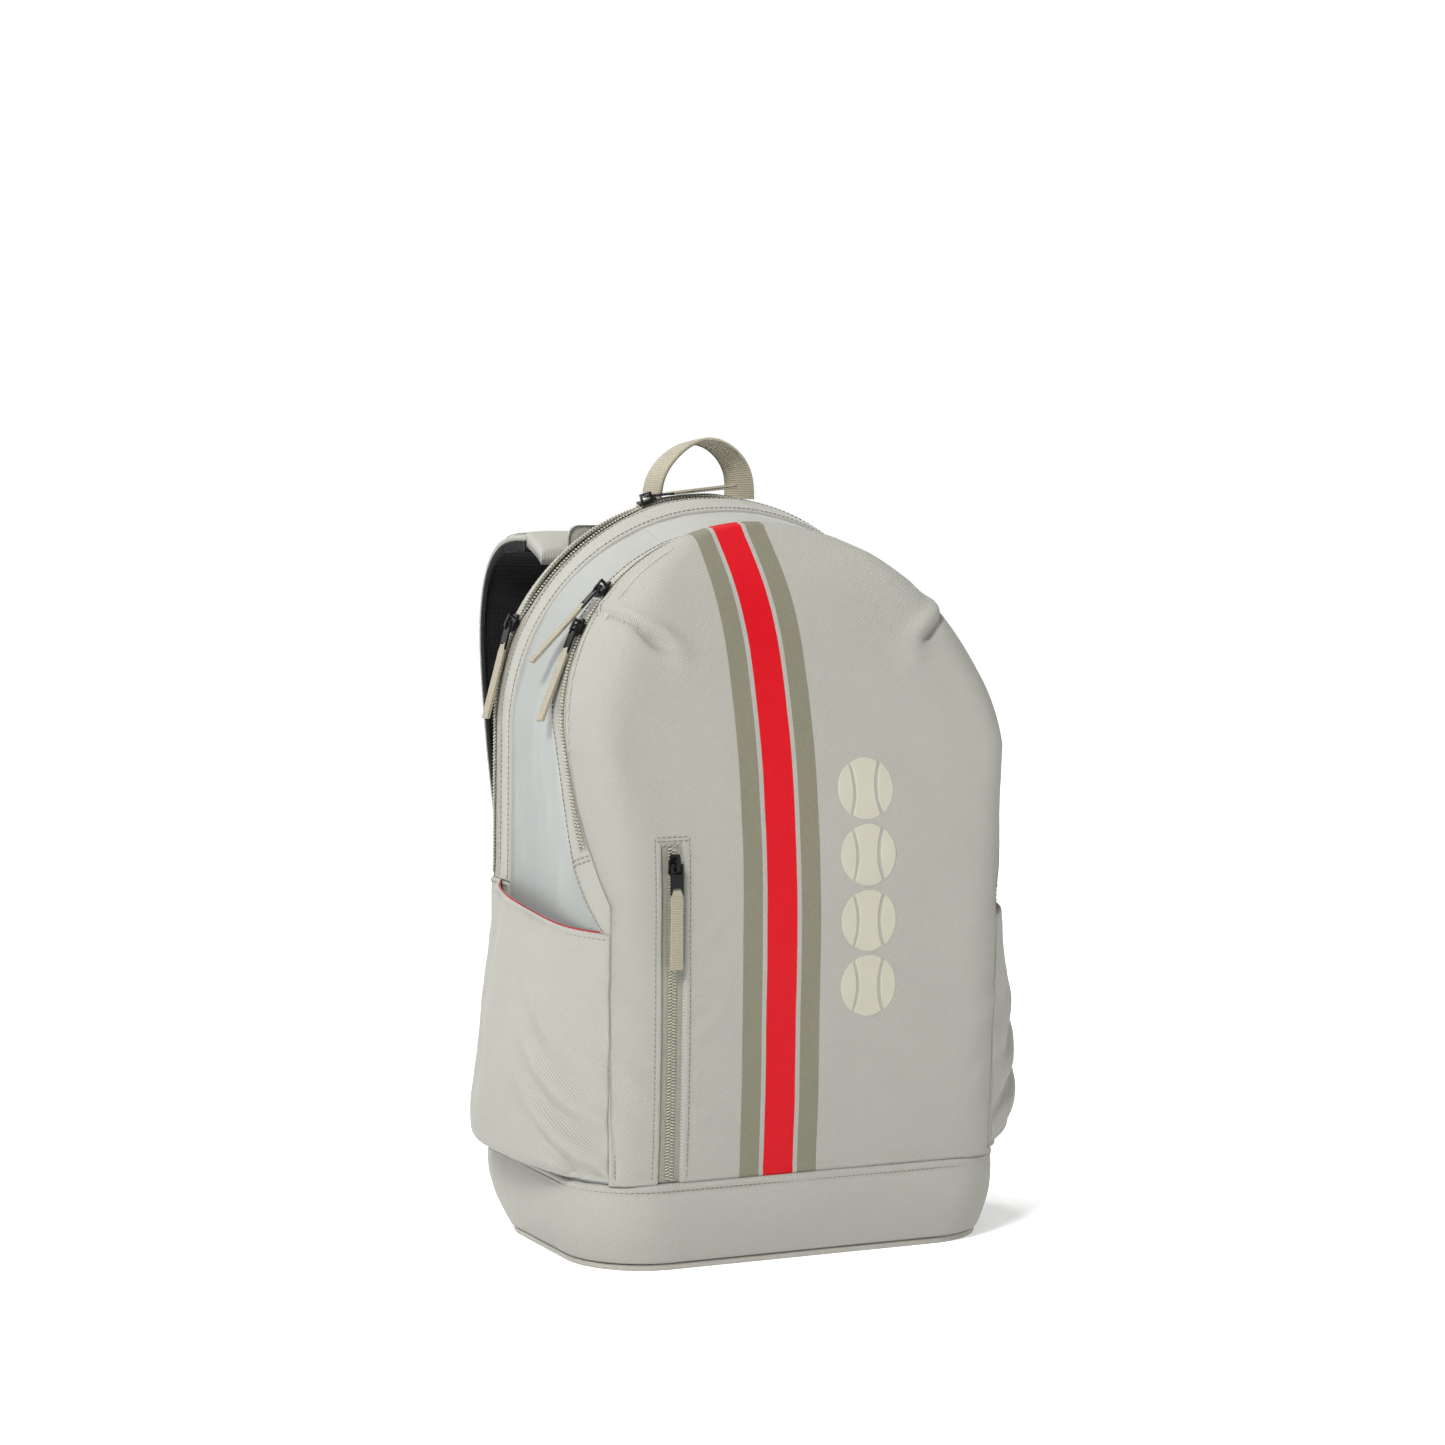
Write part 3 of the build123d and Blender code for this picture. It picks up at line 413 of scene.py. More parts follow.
def front_half(z):
    """Half width of the front cloth at a height below the arch."""
    drop = (front_edge_y(np.minimum(z, RIM_Z)) - RIM_BACK) / CORNER_DEPTH
    return RIM_R - CORNER + CORNER * np.sqrt(np.maximum(1 - drop ** 2, 0))


def front_y(x, z):
    """How far forward the front face stands."""
    rise = np.maximum(z - RIM_Z, 0) / RIM_COS
    inward = np.clip(RIM_R - np.hypot(x, rise), 0, CORNER)
    base = RIM_BACK + RIM_SIN * rise
    domed = base - CORNER_DEPTH * np.sqrt(np.maximum(1 - ((CORNER - inward) / CORNER) ** 2, 0))
    side = FRONT_PROFILE(z)
    blend = np.maximum(7.0 - np.abs(domed - side), 0) / 7.0
    return np.maximum(domed, side) + blend ** 2 * 7.0 / 4


def front(x, z, h):
    """A place on the front face: x across, z up, h outwards."""
    x, z, h = np.broadcast_arrays(np.asarray(x, float), np.asarray(z, float), np.asarray(h, float))
    y = front_y(x, z)
    step = 1.0
    dy_dx = np.clip((front_y(x + step, z) - front_y(x - step, z)) / (2 * step), -4, 4)
    dy_dz = np.clip((front_y(x, z + step) - front_y(x, z - step)) / (2 * step), -4, 4)
    out = unit(np.stack([dy_dx, -np.ones_like(y), dy_dz], axis=-1))
    return np.stack([x, y, z], axis=-1) + out * h[..., None]


def front_grid(across, up, h):
    """The front cloth's own grid: across is an angle round the arch, up runs from the boot to the rim."""
    wide = RIM_R * np.sin(across)
    top = RIM_Z + RIM_R * np.cos(across) * RIM_COS
    z = BOOT_Z + (top - BOOT_Z) * up
    room = (front_half(z) - WELT_COLUMN) / (RIM_R - WELT_COLUMN)
    x = np.where(np.abs(wide) < WELT_COLUMN, wide,
                 np.sign(wide) * (WELT_COLUMN + (np.abs(wide) - WELT_COLUMN) * room))
    return front(x, z, h)


DART_START, DART_END = np.array([-126.0, 409.0]), np.array([-97.0, 391.0])


def dart(x, z):
    """The sewn dart on each shoulder and the dimple where it ends."""
    total = np.zeros_like(x)
    run = DART_END - DART_START
    size = np.linalg.norm(run)
    run = run / size
    side = np.array([-run[1], run[0]])
    for mirror in (1, -1):
        px, pz = x * mirror - DART_START[0], z - DART_START[1]
        along = (px * run[0] + pz * run[1]) / size
        off = px * side[0] + pz * side[1]
        inside = np.clip(1.05 - along, 0, 1) * (along > -0.4)
        total -= 2.6 * bump(off, 1.7) * np.clip(inside * 4, 0, 1)
        total += 2.4 * bump(off - 6, 5) * bump(along - 0.6, 0.6)
        end = along - 1.0
        total -= 6.0 * bump(np.hypot(end * size / 9, (off + 1.5) / 3.4), 1.0)
        total += 3.0 * bump(np.hypot((end - 0.1) * size / 12, (off - 5.5) / 5.5), 1.0)
        total += 2.0 * bump(np.hypot((end - 0.55) * size / 9, (off + 2.5) / 7), 1.0)
    return total


def front_waves(flat):
    """The broad unevenness of the front, which the print on it shares."""
    return 0.9 * ripple(flat, 75, 3.1) + 0.25 * ripple(flat, 22, 9.2)


# Height, place across and depth of the small folds that start from the side seams.
SEAM_FOLDS = ((92, 126, 1.3), (128, 127, 1.5), (170, 128, 1.2), (108, -122, 1.0), (150, -126, 1.1))
WELT_FOLDS = ((205, 0.8), (150, 0.9), (96, 0.8))     # height and depth of those beside the pocket zip


def front_lift(across, up, flat, near):
    x, z = flat[..., 0], flat[..., 2]
    height = front_waves(flat) + dart(x, z)
    for level, reach, depth in SEAM_FOLDS:
        fold = z - level + 0.55 * np.sign(reach) * (x + reach)
        height += depth * (bump(fold, 6) - 0.8 * bump(fold - 11, 6)) * bump(x + reach, 12)
    for level, depth in WELT_FOLDS:
        fold = z - level - 0.5 * (x - WELT_X - 22)
        height += depth * (bump(fold, 5) - 0.8 * bump(fold - 9, 5)) * bump(x - WELT_X - 21, 8)
    in_slot = np.clip((WELT_HALF - np.abs(x - WELT_X)) / 0.8, 0, 1)
    in_slot *= np.clip((WELT_HIGH - z) / 1.2, 0, 1)
    height -= 2.4 * in_slot
    beside = np.abs(np.abs(x - WELT_X) - WELT_HALF - 1.6)
    height += 0.5 * bump(beside, 1.6) * (z < WELT_HIGH + 4) * (1 - in_slot)
    height += 0.5 * bump(near - 2.2, 1.6) - 0.9 * bump(near - 4.8, 1.0)
    height += 0.8 * bump(near - 8, 5) * np.clip(ripple(flat, 14, 5.5) + 0.2, 0, 1)
    return height * np.maximum(np.clip(near / 2, 0, 1), in_slot)


# ---- Materials ---------------------------------------------------------------------------------------------
GAIN = 0.56               # the colours below are as they look in the light, which is brighter than one


def linear(colour):
    """A lit sRGB colour of 0-255 values as the linear colour of the surface itself."""
    values = [c / 255 for c in colour]
    values = [v / 12.92 if v <= 0.04045 else ((v + 0.055) / 1.055) ** 2.4 for v in values]
    return tuple(v * GAIN for v in values) + (1.0,)


class Shader:
    """A material with a few short ways to add nodes."""

    def __init__(self, name, rough=0.8, metal=0.0, sheen=0.0, specular=0.5):
        self.material = bpy.data.materials.new(name)
        self.material.use_nodes = True
        self.nodes = self.material.node_tree.nodes
        self.links = self.material.node_tree.links
        self.surface = self.nodes["Principled BSDF"]
        self.surface.inputs["Roughness"].default_value = rough
        self.surface.inputs["Metallic"].default_value = metal
        self.surface.inputs["Sheen Weight"].default_value = sheen
        self.surface.inputs["Sheen Roughness"].default_value = 0.4
        self.surface.inputs["Specular IOR Level"].default_value = specular

    def node(self, kind, **values):
        made = self.nodes.new(kind)
        for key, value in values.items():
            setattr(made, key, value)
        return made

    def feed(self, socket, value):
        if isinstance(value, bpy.types.NodeSocket):
            self.links.new(value, socket)
        else:
            socket.default_value = value

    def math(self, operation, *values):
        made = self.node("ShaderNodeMath", operation=operation)
        for k, value in enumerate(values):
            self.feed(made.inputs[k], value)
        return made.outputs[0]

    def mix(self, factor, a, b):
        made = self.node("ShaderNodeMix", data_type="RGBA")
        self.feed(made.inputs["Factor"], factor)
        self.feed(made.inputs[6], a)
        self.feed(made.inputs[7], b)
        return made.outputs[2]

    def uv(self):
        split = self.node("ShaderNodeSeparateXYZ")
        self.links.new(self.node("ShaderNodeUVMap", uv_map="cloth").outputs[0], split.inputs[0])
        return split.outputs[0], split.outputs[1]

    def place(self):
        return self.node("ShaderNodeTexCoord").outputs["Object"]

    def wave(self, coordinate, period):
        """A sine of the coordinate, from 0 to 1."""
        turns = self.math("MULTIPLY", coordinate, 2 * pi / period)
        return self.math("MULTIPLY_ADD", self.math("SINE", turns), 0.5, 0.5)

    def clouds(self, vector, scale, detail=3.0):
        made = self.node("ShaderNodeTexNoise")
        made.inputs["Scale"].default_value = scale
        made.inputs["Detail"].default_value = detail
        self.feed(made.inputs["Vector"], vector)
        return made.outputs["Fac"]

    def relief(self, height, distance, strength=1.0):
        made = self.node("ShaderNodeBump")
        made.inputs["Distance"].default_value = distance
        made.inputs["Strength"].default_value = strength
        self.feed(made.inputs["Height"], height)
        self.links.new(made.outputs[0], self.surface.inputs["Normal"])

    def colour(self, value):
        self.feed(self.surface.inputs["Base Color"], value)


def shade(colour, amount):
    return tuple(min(255, c * amount) for c in colour)


STONE = (189, 188, 179)
# painted reflection: the colour below is the bluish cast of light reflected onto the lower side panels,
# painted into their cloth
PAINTED_REFLECTION_COOL = (168, 173, 170)
CREAM = (208, 205, 186)
TAPE = (178, 176, 160)
THREAD = (140, 133, 115)
OLIVE = (139, 137, 117)
RED = (222, 6, 28)
LINING_RED = (176, 16, 30)
LINING_DARK = (92, 92, 90)
STIFFENER = (70, 70, 70)
WEBBING = (190, 182, 158)
TWILL_PERIOD = 0.0021     # metres along u - v
STRIPE_MIDDLE, RED_HALF, STRIPE_GAP, OLIVE_WIDTH = -0.0235, 0.0104, 0.0031, 0.0134     # metres across


def twilled(shader, light):
    """The stone twill's height and colour: slanted ridges broken up by the crossing threads."""
    u, v = shader.uv()
    ridge = shader.wave(shader.math("SUBTRACT", u, v), TWILL_PERIOD)
    thread = shader.wave(shader.math("ADD", u, v), TWILL_PERIOD * 0.62)
    height = shader.math("MULTIPLY_ADD", thread, 0.35, shader.math("MULTIPLY", ridge, 0.65))
    fine = shader.clouds(shader.place(), 420.0, 2.0)
    broad = shader.clouds(shader.place(), 14.0)
    base = shader.mix(height, linear(shade(STONE, 0.85)), linear(shade(STONE, light)))
    toned = shader.mix(shader.math("MULTIPLY", broad, 0.16), base, linear(shade(STONE, 0.9)))
    cloth = shader.mix(shader.math("MULTIPLY", fine, 0.12), toned, linear(shade(STONE, 1.08)))
    return height, cloth, fine


def stone_twill(name):
    shader = Shader(name, rough=0.85, sheen=0.05, specular=0.3)
    height, cloth, _ = twilled(shader, 1.0825)
    shader.colour(cloth)
    shader.relief(height, 0.0002, 0.8)
    return shader.material


def plain_weave(name, colour, period, sheen=0.2):
    shader = Shader(name, rough=0.8, sheen=sheen, specular=0.35)
    u, v = shader.uv()
    height = shader.math("MULTIPLY", shader.wave(u, period), shader.wave(v, period))
    broad = shader.clouds(shader.place(), 18.0)
    base = shader.mix(height, linear(shade(colour, 0.95)), linear(shade(colour, 1.05)))
    shader.colour(shader.mix(shader.math("MULTIPLY", broad, 0.25), base, linear(shade(colour, 0.9))))
    shader.relief(height, 0.00012, 0.7)
    return shader.material


def side_weave(name):
    """The sides' smooth cloth with a painted reflection: a little cooler in tone low down than at the top,
    standing in for bluish light reflected onto the lower sides.
    """
    shader = Shader(name, rough=0.72, sheen=0.25, specular=0.4)
    u, v = shader.uv()
    height = shader.math("MULTIPLY", shader.wave(u, 0.0009), shader.wave(v, 0.0009))
    split = shader.node("ShaderNodeSeparateXYZ")
    shader.links.new(shader.place(), split.inputs[0])
    # painted reflection: the side cloth takes the cool colour fully below about 0.38 m and none of it above
    # about 0.47 m, standing in for bluish reflected light
    low = shader.math("MULTIPLY_ADD", split.outputs[2], -11.0, 5.2)
    low = shader.math("MINIMUM", shader.math("MAXIMUM", low, 0.0), 1.0)
    tone = shader.mix(low, linear(STONE), linear(PAINTED_REFLECTION_COOL))
    broad = shader.clouds(shader.place(), 18.0)
    wear_and_painted_reflection = shader.mix(shader.math("MULTIPLY", broad, 0.25), tone, linear(shade(PAINTED_REFLECTION_COOL, 0.9)))
    shader.colour(shader.mix(shader.math("MULTIPLY", height, 0.25), wear_and_painted_reflection, linear(shade(STONE, 1.08))))
    shader.relief(height, 0.00012, 0.7)
    return shader.material


def ribbed(name, colour, period, contrast, depth=0.0003):
    """Grosgrain and zip tape: ribs across the strip."""
    shader = Shader(name, rough=0.75, sheen=0.15, specular=0.35)
    u, v = shader.uv()
    ribs = shader.wave(u, period)
    threads = shader.wave(v, period * 0.55)
    height = shader.math("MULTIPLY_ADD", threads, 0.3, shader.math("MULTIPLY", ribs, 0.7))
    broad = shader.clouds(shader.place(), 60.0)
    base = shader.mix(height, linear(shade(colour, 1 - contrast)), linear(shade(colour, 1 + contrast * 0.4)))
    shader.colour(shader.mix(shader.math("MULTIPLY", broad, 0.25), base, linear(shade(colour, 0.86))))
    shader.relief(height, depth, 0.9)
    return shader.material


def yarn(name, colour, rough=0.6):
    shader = Shader(name, rough=rough, sheen=0.2)
    speckle = shader.clouds(shader.place(), 900.0, 2.0)
    shader.colour(shader.mix(speckle, linear(shade(colour, 0.82)), linear(shade(colour, 1.1))))
    shader.relief(speckle, 0.0001, 0.6)
    return shader.material


def ink(name, colour):
    """A thick smooth print with a faint unevenness."""
    shader = Shader(name, rough=0.6, specular=0.25)
    broad = shader.clouds(shader.place(), 45.0)
    shader.colour(shader.mix(broad, linear(shade(colour, 0.975)), linear(shade(colour, 1.02))))
    shader.relief(shader.clouds(shader.place(), 500.0), 0.00004, 0.4)
    return shader.material


def black_gloss(name, colour, rough, metal, grain):
    """Lacquered metal and moulded plastic."""
    shader = Shader(name, rough=rough, metal=metal)
    wear = shader.clouds(shader.place(), grain)
    shader.colour(shader.mix(wear, linear(colour), linear(shade(colour, 1.9))))
    spread_rough = shader.math("MULTIPLY_ADD", wear, 0.18, rough - 0.09)
    shader.feed(shader.surface.inputs["Roughness"], spread_rough)
    shader.relief(wear, 0.00008, 0.5)
    return shader.material


def spacer_mesh(name, colour):
    """The open knitted mesh on the bag's back: round cells over a darker ground."""
    shader = Shader(name, rough=0.85, sheen=0.06, specular=0.2)
    cells = shader.node("ShaderNodeTexVoronoi", feature="F1")
    cells.inputs["Scale"].default_value = 330.0
    cells.inputs["Randomness"].default_value = 0.25
    shader.feed(cells.inputs["Vector"], shader.place())
    hole = shader.math("SMOOTH_MIN", shader.math("MULTIPLY", cells.outputs["Distance"], 1.9), 1.0, 0.2)
    fuzz = shader.clouds(shader.place(), 1500.0, 2.0)
    knit = shader.mix(fuzz, linear(shade(colour, 1.2)), linear(shade(colour, 2.6)))
    shader.colour(shader.mix(hole, linear(shade(colour, 0.35)), knit))
    shader.relief(hole, 0.0006, 0.9)
    return shader.material


def printed_cloth(name):
    """The front cloth: twill with three printed stripes."""
    shader = Shader(name, rough=0.85, sheen=0.04, specular=0.15)
    height, cloth, fine = twilled(shader, 1.08)
    u, _ = shader.uv()
    off = shader.math("ABSOLUTE", shader.math("SUBTRACT", u, STRIPE_MIDDLE))
    red = shader.math("LESS_THAN", off, RED_HALF)
    outer_low = shader.math("GREATER_THAN", off, RED_HALF + STRIPE_GAP)
    outer_high = shader.math("LESS_THAN", off, RED_HALF + STRIPE_GAP + OLIVE_WIDTH)
    side = shader.math("MULTIPLY", outer_low, outer_high)
    red_ink = shader.mix(fine, linear(shade(RED, 0.94)), linear(shade(RED, 1.04)))
    olive_ink = shader.mix(fine, linear(shade(OLIVE, 0.95)), linear(shade(OLIVE, 1.05)))
    shader.colour(shader.mix(red, shader.mix(side, cloth, olive_ink), red_ink))
    inked = shader.math("ADD", red, side)
    rough = shader.math("MULTIPLY_ADD", inked, -0.3, 0.85)
    shader.feed(shader.surface.inputs["Roughness"], rough)
    flatter = shader.math("MULTIPLY", height, shader.math("MULTIPLY_ADD", inked, -0.75, 1.0))
    shader.relief(flatter, 0.00022, 0.8)
    return shader.material


MAT = {
    "front": printed_cloth("front_cloth"),
    "twill": stone_twill("stone_twill"),
    "side": side_weave("side_weave_painted_reflection"),
    "smooth": plain_weave("stone_weave", STONE, 0.0009),
    "tape": ribbed("zip_tape", TAPE, 0.0011, 0.12),
    "coil": yarn("zip_coil", CREAM, rough=0.45),
    "webbing": ribbed("cream_webbing", WEBBING, 0.0015, 0.15, depth=0.00035),
    "thread": yarn("thread", THREAD),
    "print": ink("cream_print", (205, 202, 184)),
    "metal": black_gloss("black_metal", (14, 14, 15), 0.32, 0.6, 160.0),
    "plastic": black_gloss("black_plastic", (20, 20, 21), 0.45, 0.0, 240.0),
    "mesh": spacer_mesh("spacer_mesh", (11, 11, 12)),
    "lining": plain_weave("red_lining", LINING_RED, 0.0008, sheen=0.3),
    "inside": plain_weave("dark_lining", LINING_DARK, 0.0009),
}


# ---- Camera, light and floor -------------------------------------------------------------------------------
def set_camera():
    azimuth, elevation, roll = radians(-26.0), radians(5.0), radians(0.8)
    distance = 2350.0
    target = Vector((-16.0, 5.0, 330.0))
    back = Vector((sin(azimuth) * cos(elevation), -cos(azimuth) * cos(elevation), sin(elevation)))
    right = Vector((cos(azimuth), sin(azimuth), 0))
    up = back.cross(right)
    turned = right * cos(roll) + up * sin(roll)
    raised = up * cos(roll) - right * sin(roll)
    data = bpy.data.cameras.new("camera")
    data.lens = 90.9
    data.sensor_width = 36.0
    camera = bpy.data.objects.new("camera", data)
    bpy.context.scene.collection.objects.link(camera)
    place = (target + back * distance) * MM
    rows = [(turned[k], raised[k], back[k], place[k]) for k in range(3)]
    camera.matrix_world = Matrix(rows + [(0, 0, 0, 1)])
    bpy.context.scene.camera = camera


LIT_POINT = Vector((0, 0, 0.28))      # metres: the middle of the bag


def area_light(name, place, size, power):
    data = bpy.data.lights.new(name, "AREA")
    data.shape = "DISK"
    data.size = size
    data.energy = power
    light = bpy.data.objects.new(name, data)
    bpy.context.scene.collection.objects.link(light)
    light.location = place
    light.rotation_euler = (LIT_POINT - Vector(place)).to_track_quat("-Z", "Y").to_euler()


def ramp_node(tree, value, low, high, start, end, kind="LINEAR"):
    """Turns a value from low to high into one from start to end."""
    ramp = tree.nodes.new("ShaderNodeMapRange")
    ramp.interpolation_type = kind
    for k, number in enumerate((low, high, start, end)):
        ramp.inputs[k + 1].default_value = number
    tree.links.new(value, ramp.inputs[0])
    return ramp.outputs[0]


def set_world():
    """A white surround that is dimmer overhead, so that the bag keeps some shade."""
    world = bpy.data.worlds.new("studio")
    world.use_nodes = True
    tree = world.node_tree
    background = tree.nodes["Background"]
    background.inputs[0].default_value = (1, 1, 1, 1)
    split = tree.nodes.new("ShaderNodeSeparateXYZ")
    tree.links.new(tree.nodes.new("ShaderNodeTexCoord").outputs["Generated"], split.inputs[0])
    strength = ramp_node(tree, split.outputs[2], 0.26, 0.6, 1.0, 0.3, "SMOOTHSTEP")
    tree.links.new(strength, background.inputs[1])
    bpy.context.scene.world = world


def floor_material():
    """A pale floor that glows a little more far away, where it meets the white surround."""
    shader = Shader("pale_floor", rough=0.9, specular=0.1)
    speck = shader.clouds(shader.place(), 3.0)
    shader.colour(shader.mix(speck, (0.95, 0.95, 0.95, 1), (0.97, 0.97, 0.97, 1)))
    shader.surface.inputs["Emission Color"].default_value = (1, 1, 1, 1)
    away = shader.node("ShaderNodeVectorMath", operation="LENGTH")
    shader.feed(away.inputs[0], shader.node("ShaderNodeNewGeometry").outputs["Position"])
    glow = ramp_node(shader.material.node_tree, away.outputs["Value"], 0.8, 2.4, 0.3, 0.66)
    shader.feed(shader.surface.inputs["Emission Strength"], glow)
    return shader.material


def set_floor():
    half = 6.0
    mesh = bpy.data.meshes.new("floor")
    corners = [(-half, -half, 0), (half, -half, 0), (half, half, 0), (-half, half, 0)]
    mesh.from_pydata(corners, [], [(0, 1, 2, 3)])
    mesh.materials.append(floor_material())
    floor = bpy.data.objects.new("floor", mesh)
    bpy.context.scene.collection.objects.link(floor)


def set_studio():
    bpy.context.scene.view_settings.view_transform = "Standard"
    set_world()
    area_light("key", (-1.8, -1.5, 2.3), 0.8, 104)
    area_light("fill", (1.9, -1.2, 0.9), 1.6, 3)
    area_light("rim", (-0.4, 1.0, 2.3), 1.0, 42)
    set_floor()


set_camera()
set_studio()


# ---- Front cloth -------------------------------------------------------------------------------------------
def front_uv(u, v, flat):
    """Lengths over the cloth, from its middle line and from the boot."""
    wide, tall = run_lengths(flat)
    return np.stack([wide - wide[np.argmin(np.abs(u[:, 0]))], tall], axis=-1)


def columns():
    """Angles of the front cloth's columns, with more beside the pocket zip."""
    beside = np.array([6.6, 7.4, 8.0, 8.6, 9.6])
    welt = np.arcsin((WELT_X + np.concatenate([-beside, beside])) / RIM_R)
    return merged(np.linspace(-pi / 2, pi / 2, 165), welt, digits=5)


def bend_at_fold(piece):
    """Bakes the transform of a piece on the front into its mesh."""
    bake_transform(piece)


def make_front():
    rows = 1 - (1 - np.linspace(0, 1, 200)) ** 1.5
    rows = np.unique(np.concatenate([rows, [0.001, 0.004], [0.9985, 0.9995]]))
    cloth = sheet_mesh("front_cloth", front_grid, columns(), rows, front_lift, thick=2.0, roll=1.6,
                       uv=front_uv)
    finish_piece(cloth, None, "shell_twill", MAT["front"], "front_panel_lower", "front_flap")
    bend_at_fold(cloth)


make_front()


# ---- Zips --------------------------------------------------------------------------------------------------
TOOTH, TOOTH_FACES = capsule(1.0, 1.0, 1.0, 6, (-0.5, -0.4, -0.1, 0.3, 0.5), (0.5, 0.85, 1.0, 0.95, 0.5))


def coil(name, points, out, pitch=2.2, reach=2.0, rows=(-1, 1)):
    """Rows of coil teeth along a line, one on each side of it, leaning a little."""
    centres, along, normal = evenly(points, out, pitch)
    along, normal = unit(along), unit(normal)
    across = np.cross(normal, along)
    every = []
    for row in rows:
        shift = along * (0.25 * row * pitch)
        middle = centres + shift + across * row * reach * 0.5
        direction = across * row + along * 0.25
        every.append((middle, direction, normal))
    middle, direction, normal = (np.concatenate([e[k] for e in every]) for k in range(3))
    bar = TOOTH * np.array([reach * 1.12, pitch * 0.56, 1.5])
    return repeated(name, middle, direction, normal, bar, TOOTH_FACES)


def make_front_zip():
    sigmas = spread(-STRIP_END, STRIP_END, 5)
    depths = merged(np.linspace(0, 1, 9), [0.03, 0.97, 0.2, 0.25, 0.31, 0.36])

    def place(sigma, part, h):
        return rim_skin(sigma, TAPE_FRONT + (strip_rear(sigma) - TAPE_FRONT) * part, h)

    def lift(sigma, part, flat, near):
        depth = TAPE_FRONT + (strip_rear(sigma) - TAPE_FRONT) * part
        groove = 1.3 * bump(depth - FRONT_CHAIN, 3.4) * (np.abs(sigma) < CHAIN_STOP)
        return 0.25 * ripple(flat, 30, 2.0) - 0.5 - groove
    tape = sheet_mesh("front_zip_strip", place, sigmas, depths, lift, thick=1.4, roll=0.8)
    finish_piece(tape, "pack", "zip_tape", MAT["smooth"], "front_zip_tape")
    line = np.linspace(-CHAIN_STOP, CHAIN_STOP, 400)
    points, out = frames_along(rim_skin, line, FRONT_CHAIN, 0.1)
    teeth = coil("front_zip_coil", points, out)
    finish_piece(teeth, "pack", "zip_teeth", MAT["coil"], "front_zip_chain")
    around = np.linspace(-CHAIN_STOP - 3, CHAIN_STOP + 3, 260)
    for label, depth in (("front", FRONT_CHAIN - 3.3), ("rear", FRONT_CHAIN + 3.3)):
        edge = sheet_mesh(f"front_zip_edge_{label}", rim_skin, around, depth + np.linspace(-1.3, 1.3, 5),
                          lambda *grids: -0.35, thick=0.8, roll=0.5)
        finish_piece(edge, "pack", "zip_tape", MAT["tape"])


make_front_zip()


MOUTH_S = tuple(-radians(angle - 90) * RIM_R for angle in MOUTH)
LEG_S = ARC + MAIN_Z - SPLIT_Z


def mouth_open(s):
    """1 where the main zip stands open, 0 where it is closed."""
    middle = (MOUTH_S[0] + MOUTH_S[1]) / 2
    half = (MOUTH_S[0] - MOUTH_S[1]) / 2
    return np.clip(1 - ((s - middle) / half) ** 2, 0, 1) ** 0.5


def make_main_zip():
    """Both tapes, the closed teeth on each side of the mouth, and the parted teeth along it."""
    mouth = np.linspace(MOUTH_S[1], MOUTH_S[0], 120)
    for label, side, low, high, drop in (("front", -1, SIDE_END_Y - 1, CHAIN_Y - 1.4, 1.5),
                                         ("back", 1, CHAIN_Y + 1.4, BACK_TAPE_Y + 1, -1.0)):
        def place(s, y, h, side=side, drop=drop):
            reach = np.clip((y - CHAIN_Y) * side, 1.4, 12)
            part = bump(reach - 1.4, 7) * mouth_open(s)
            return skin(s, y + side * 1.8 * part, h - drop * part)
        rows = merged(np.linspace(low, high, 8), [low + 0.5, high - 0.5])
        tape = sheet_mesh(f"main_zip_web_{label}", place, spread(-LEG_S, LEG_S, 5), rows, lambda *grids: -0.9,
                          thick=1.2, roll=0.8)
        finish_piece(tape, "pack", "zip_tape", MAT["tape"], f"main_zip_tape_{label}")
        part = mouth_open(mouth)
        points = skin(mouth, CHAIN_Y + side * (0.2 + 1.8 * part), -drop * part)
        _, out = frames_along(skin, mouth, CHAIN_Y + side * 1.8 * part)
        teeth = coil(f"main_zip_open_{label}", points, out, rows=(side,))
        finish_piece(teeth, "pack", "zip_teeth", MAT["coil"])
    for name, low, high, replaced in (("main_zip_coil", MOUTH_S[0], LEG_S - 3, ["main_zip_chain"]),
                                      ("main_zip_coil_low", -LEG_S + 3, MOUTH_S[1], [])):
        teeth = coil(name, *frames_along(skin, np.linspace(low, high, 260), CHAIN_Y))
        finish_piece(teeth, "pack", "zip_teeth", MAT["coil"], *replaced)


make_main_zip()


# ---- Panels of the sides and top ---------------------------------------------------------------------------
LOW_S = ARC + MAIN_Z - BOOT_Z
TOP_S = RIM_R * np.arcsin(62.0 / RIM_R)
STRIP_SIGMA = np.linspace(-STRIP_END, STRIP_END, 500)
STRIP_S, STRIP_Y = rim(STRIP_SIGMA, strip_rear(STRIP_SIGMA))


def strip_y(s):
    """Where the side panels begin: the rear seam of the front zip's strip, then the front seam."""
    return np.interp(s, STRIP_S, STRIP_Y, left=SEAM_Y, right=SEAM_Y)


def between(s, part, h):
    start = strip_y(s)
    return skin(s, start + (BAND_Y - start) * part, h)


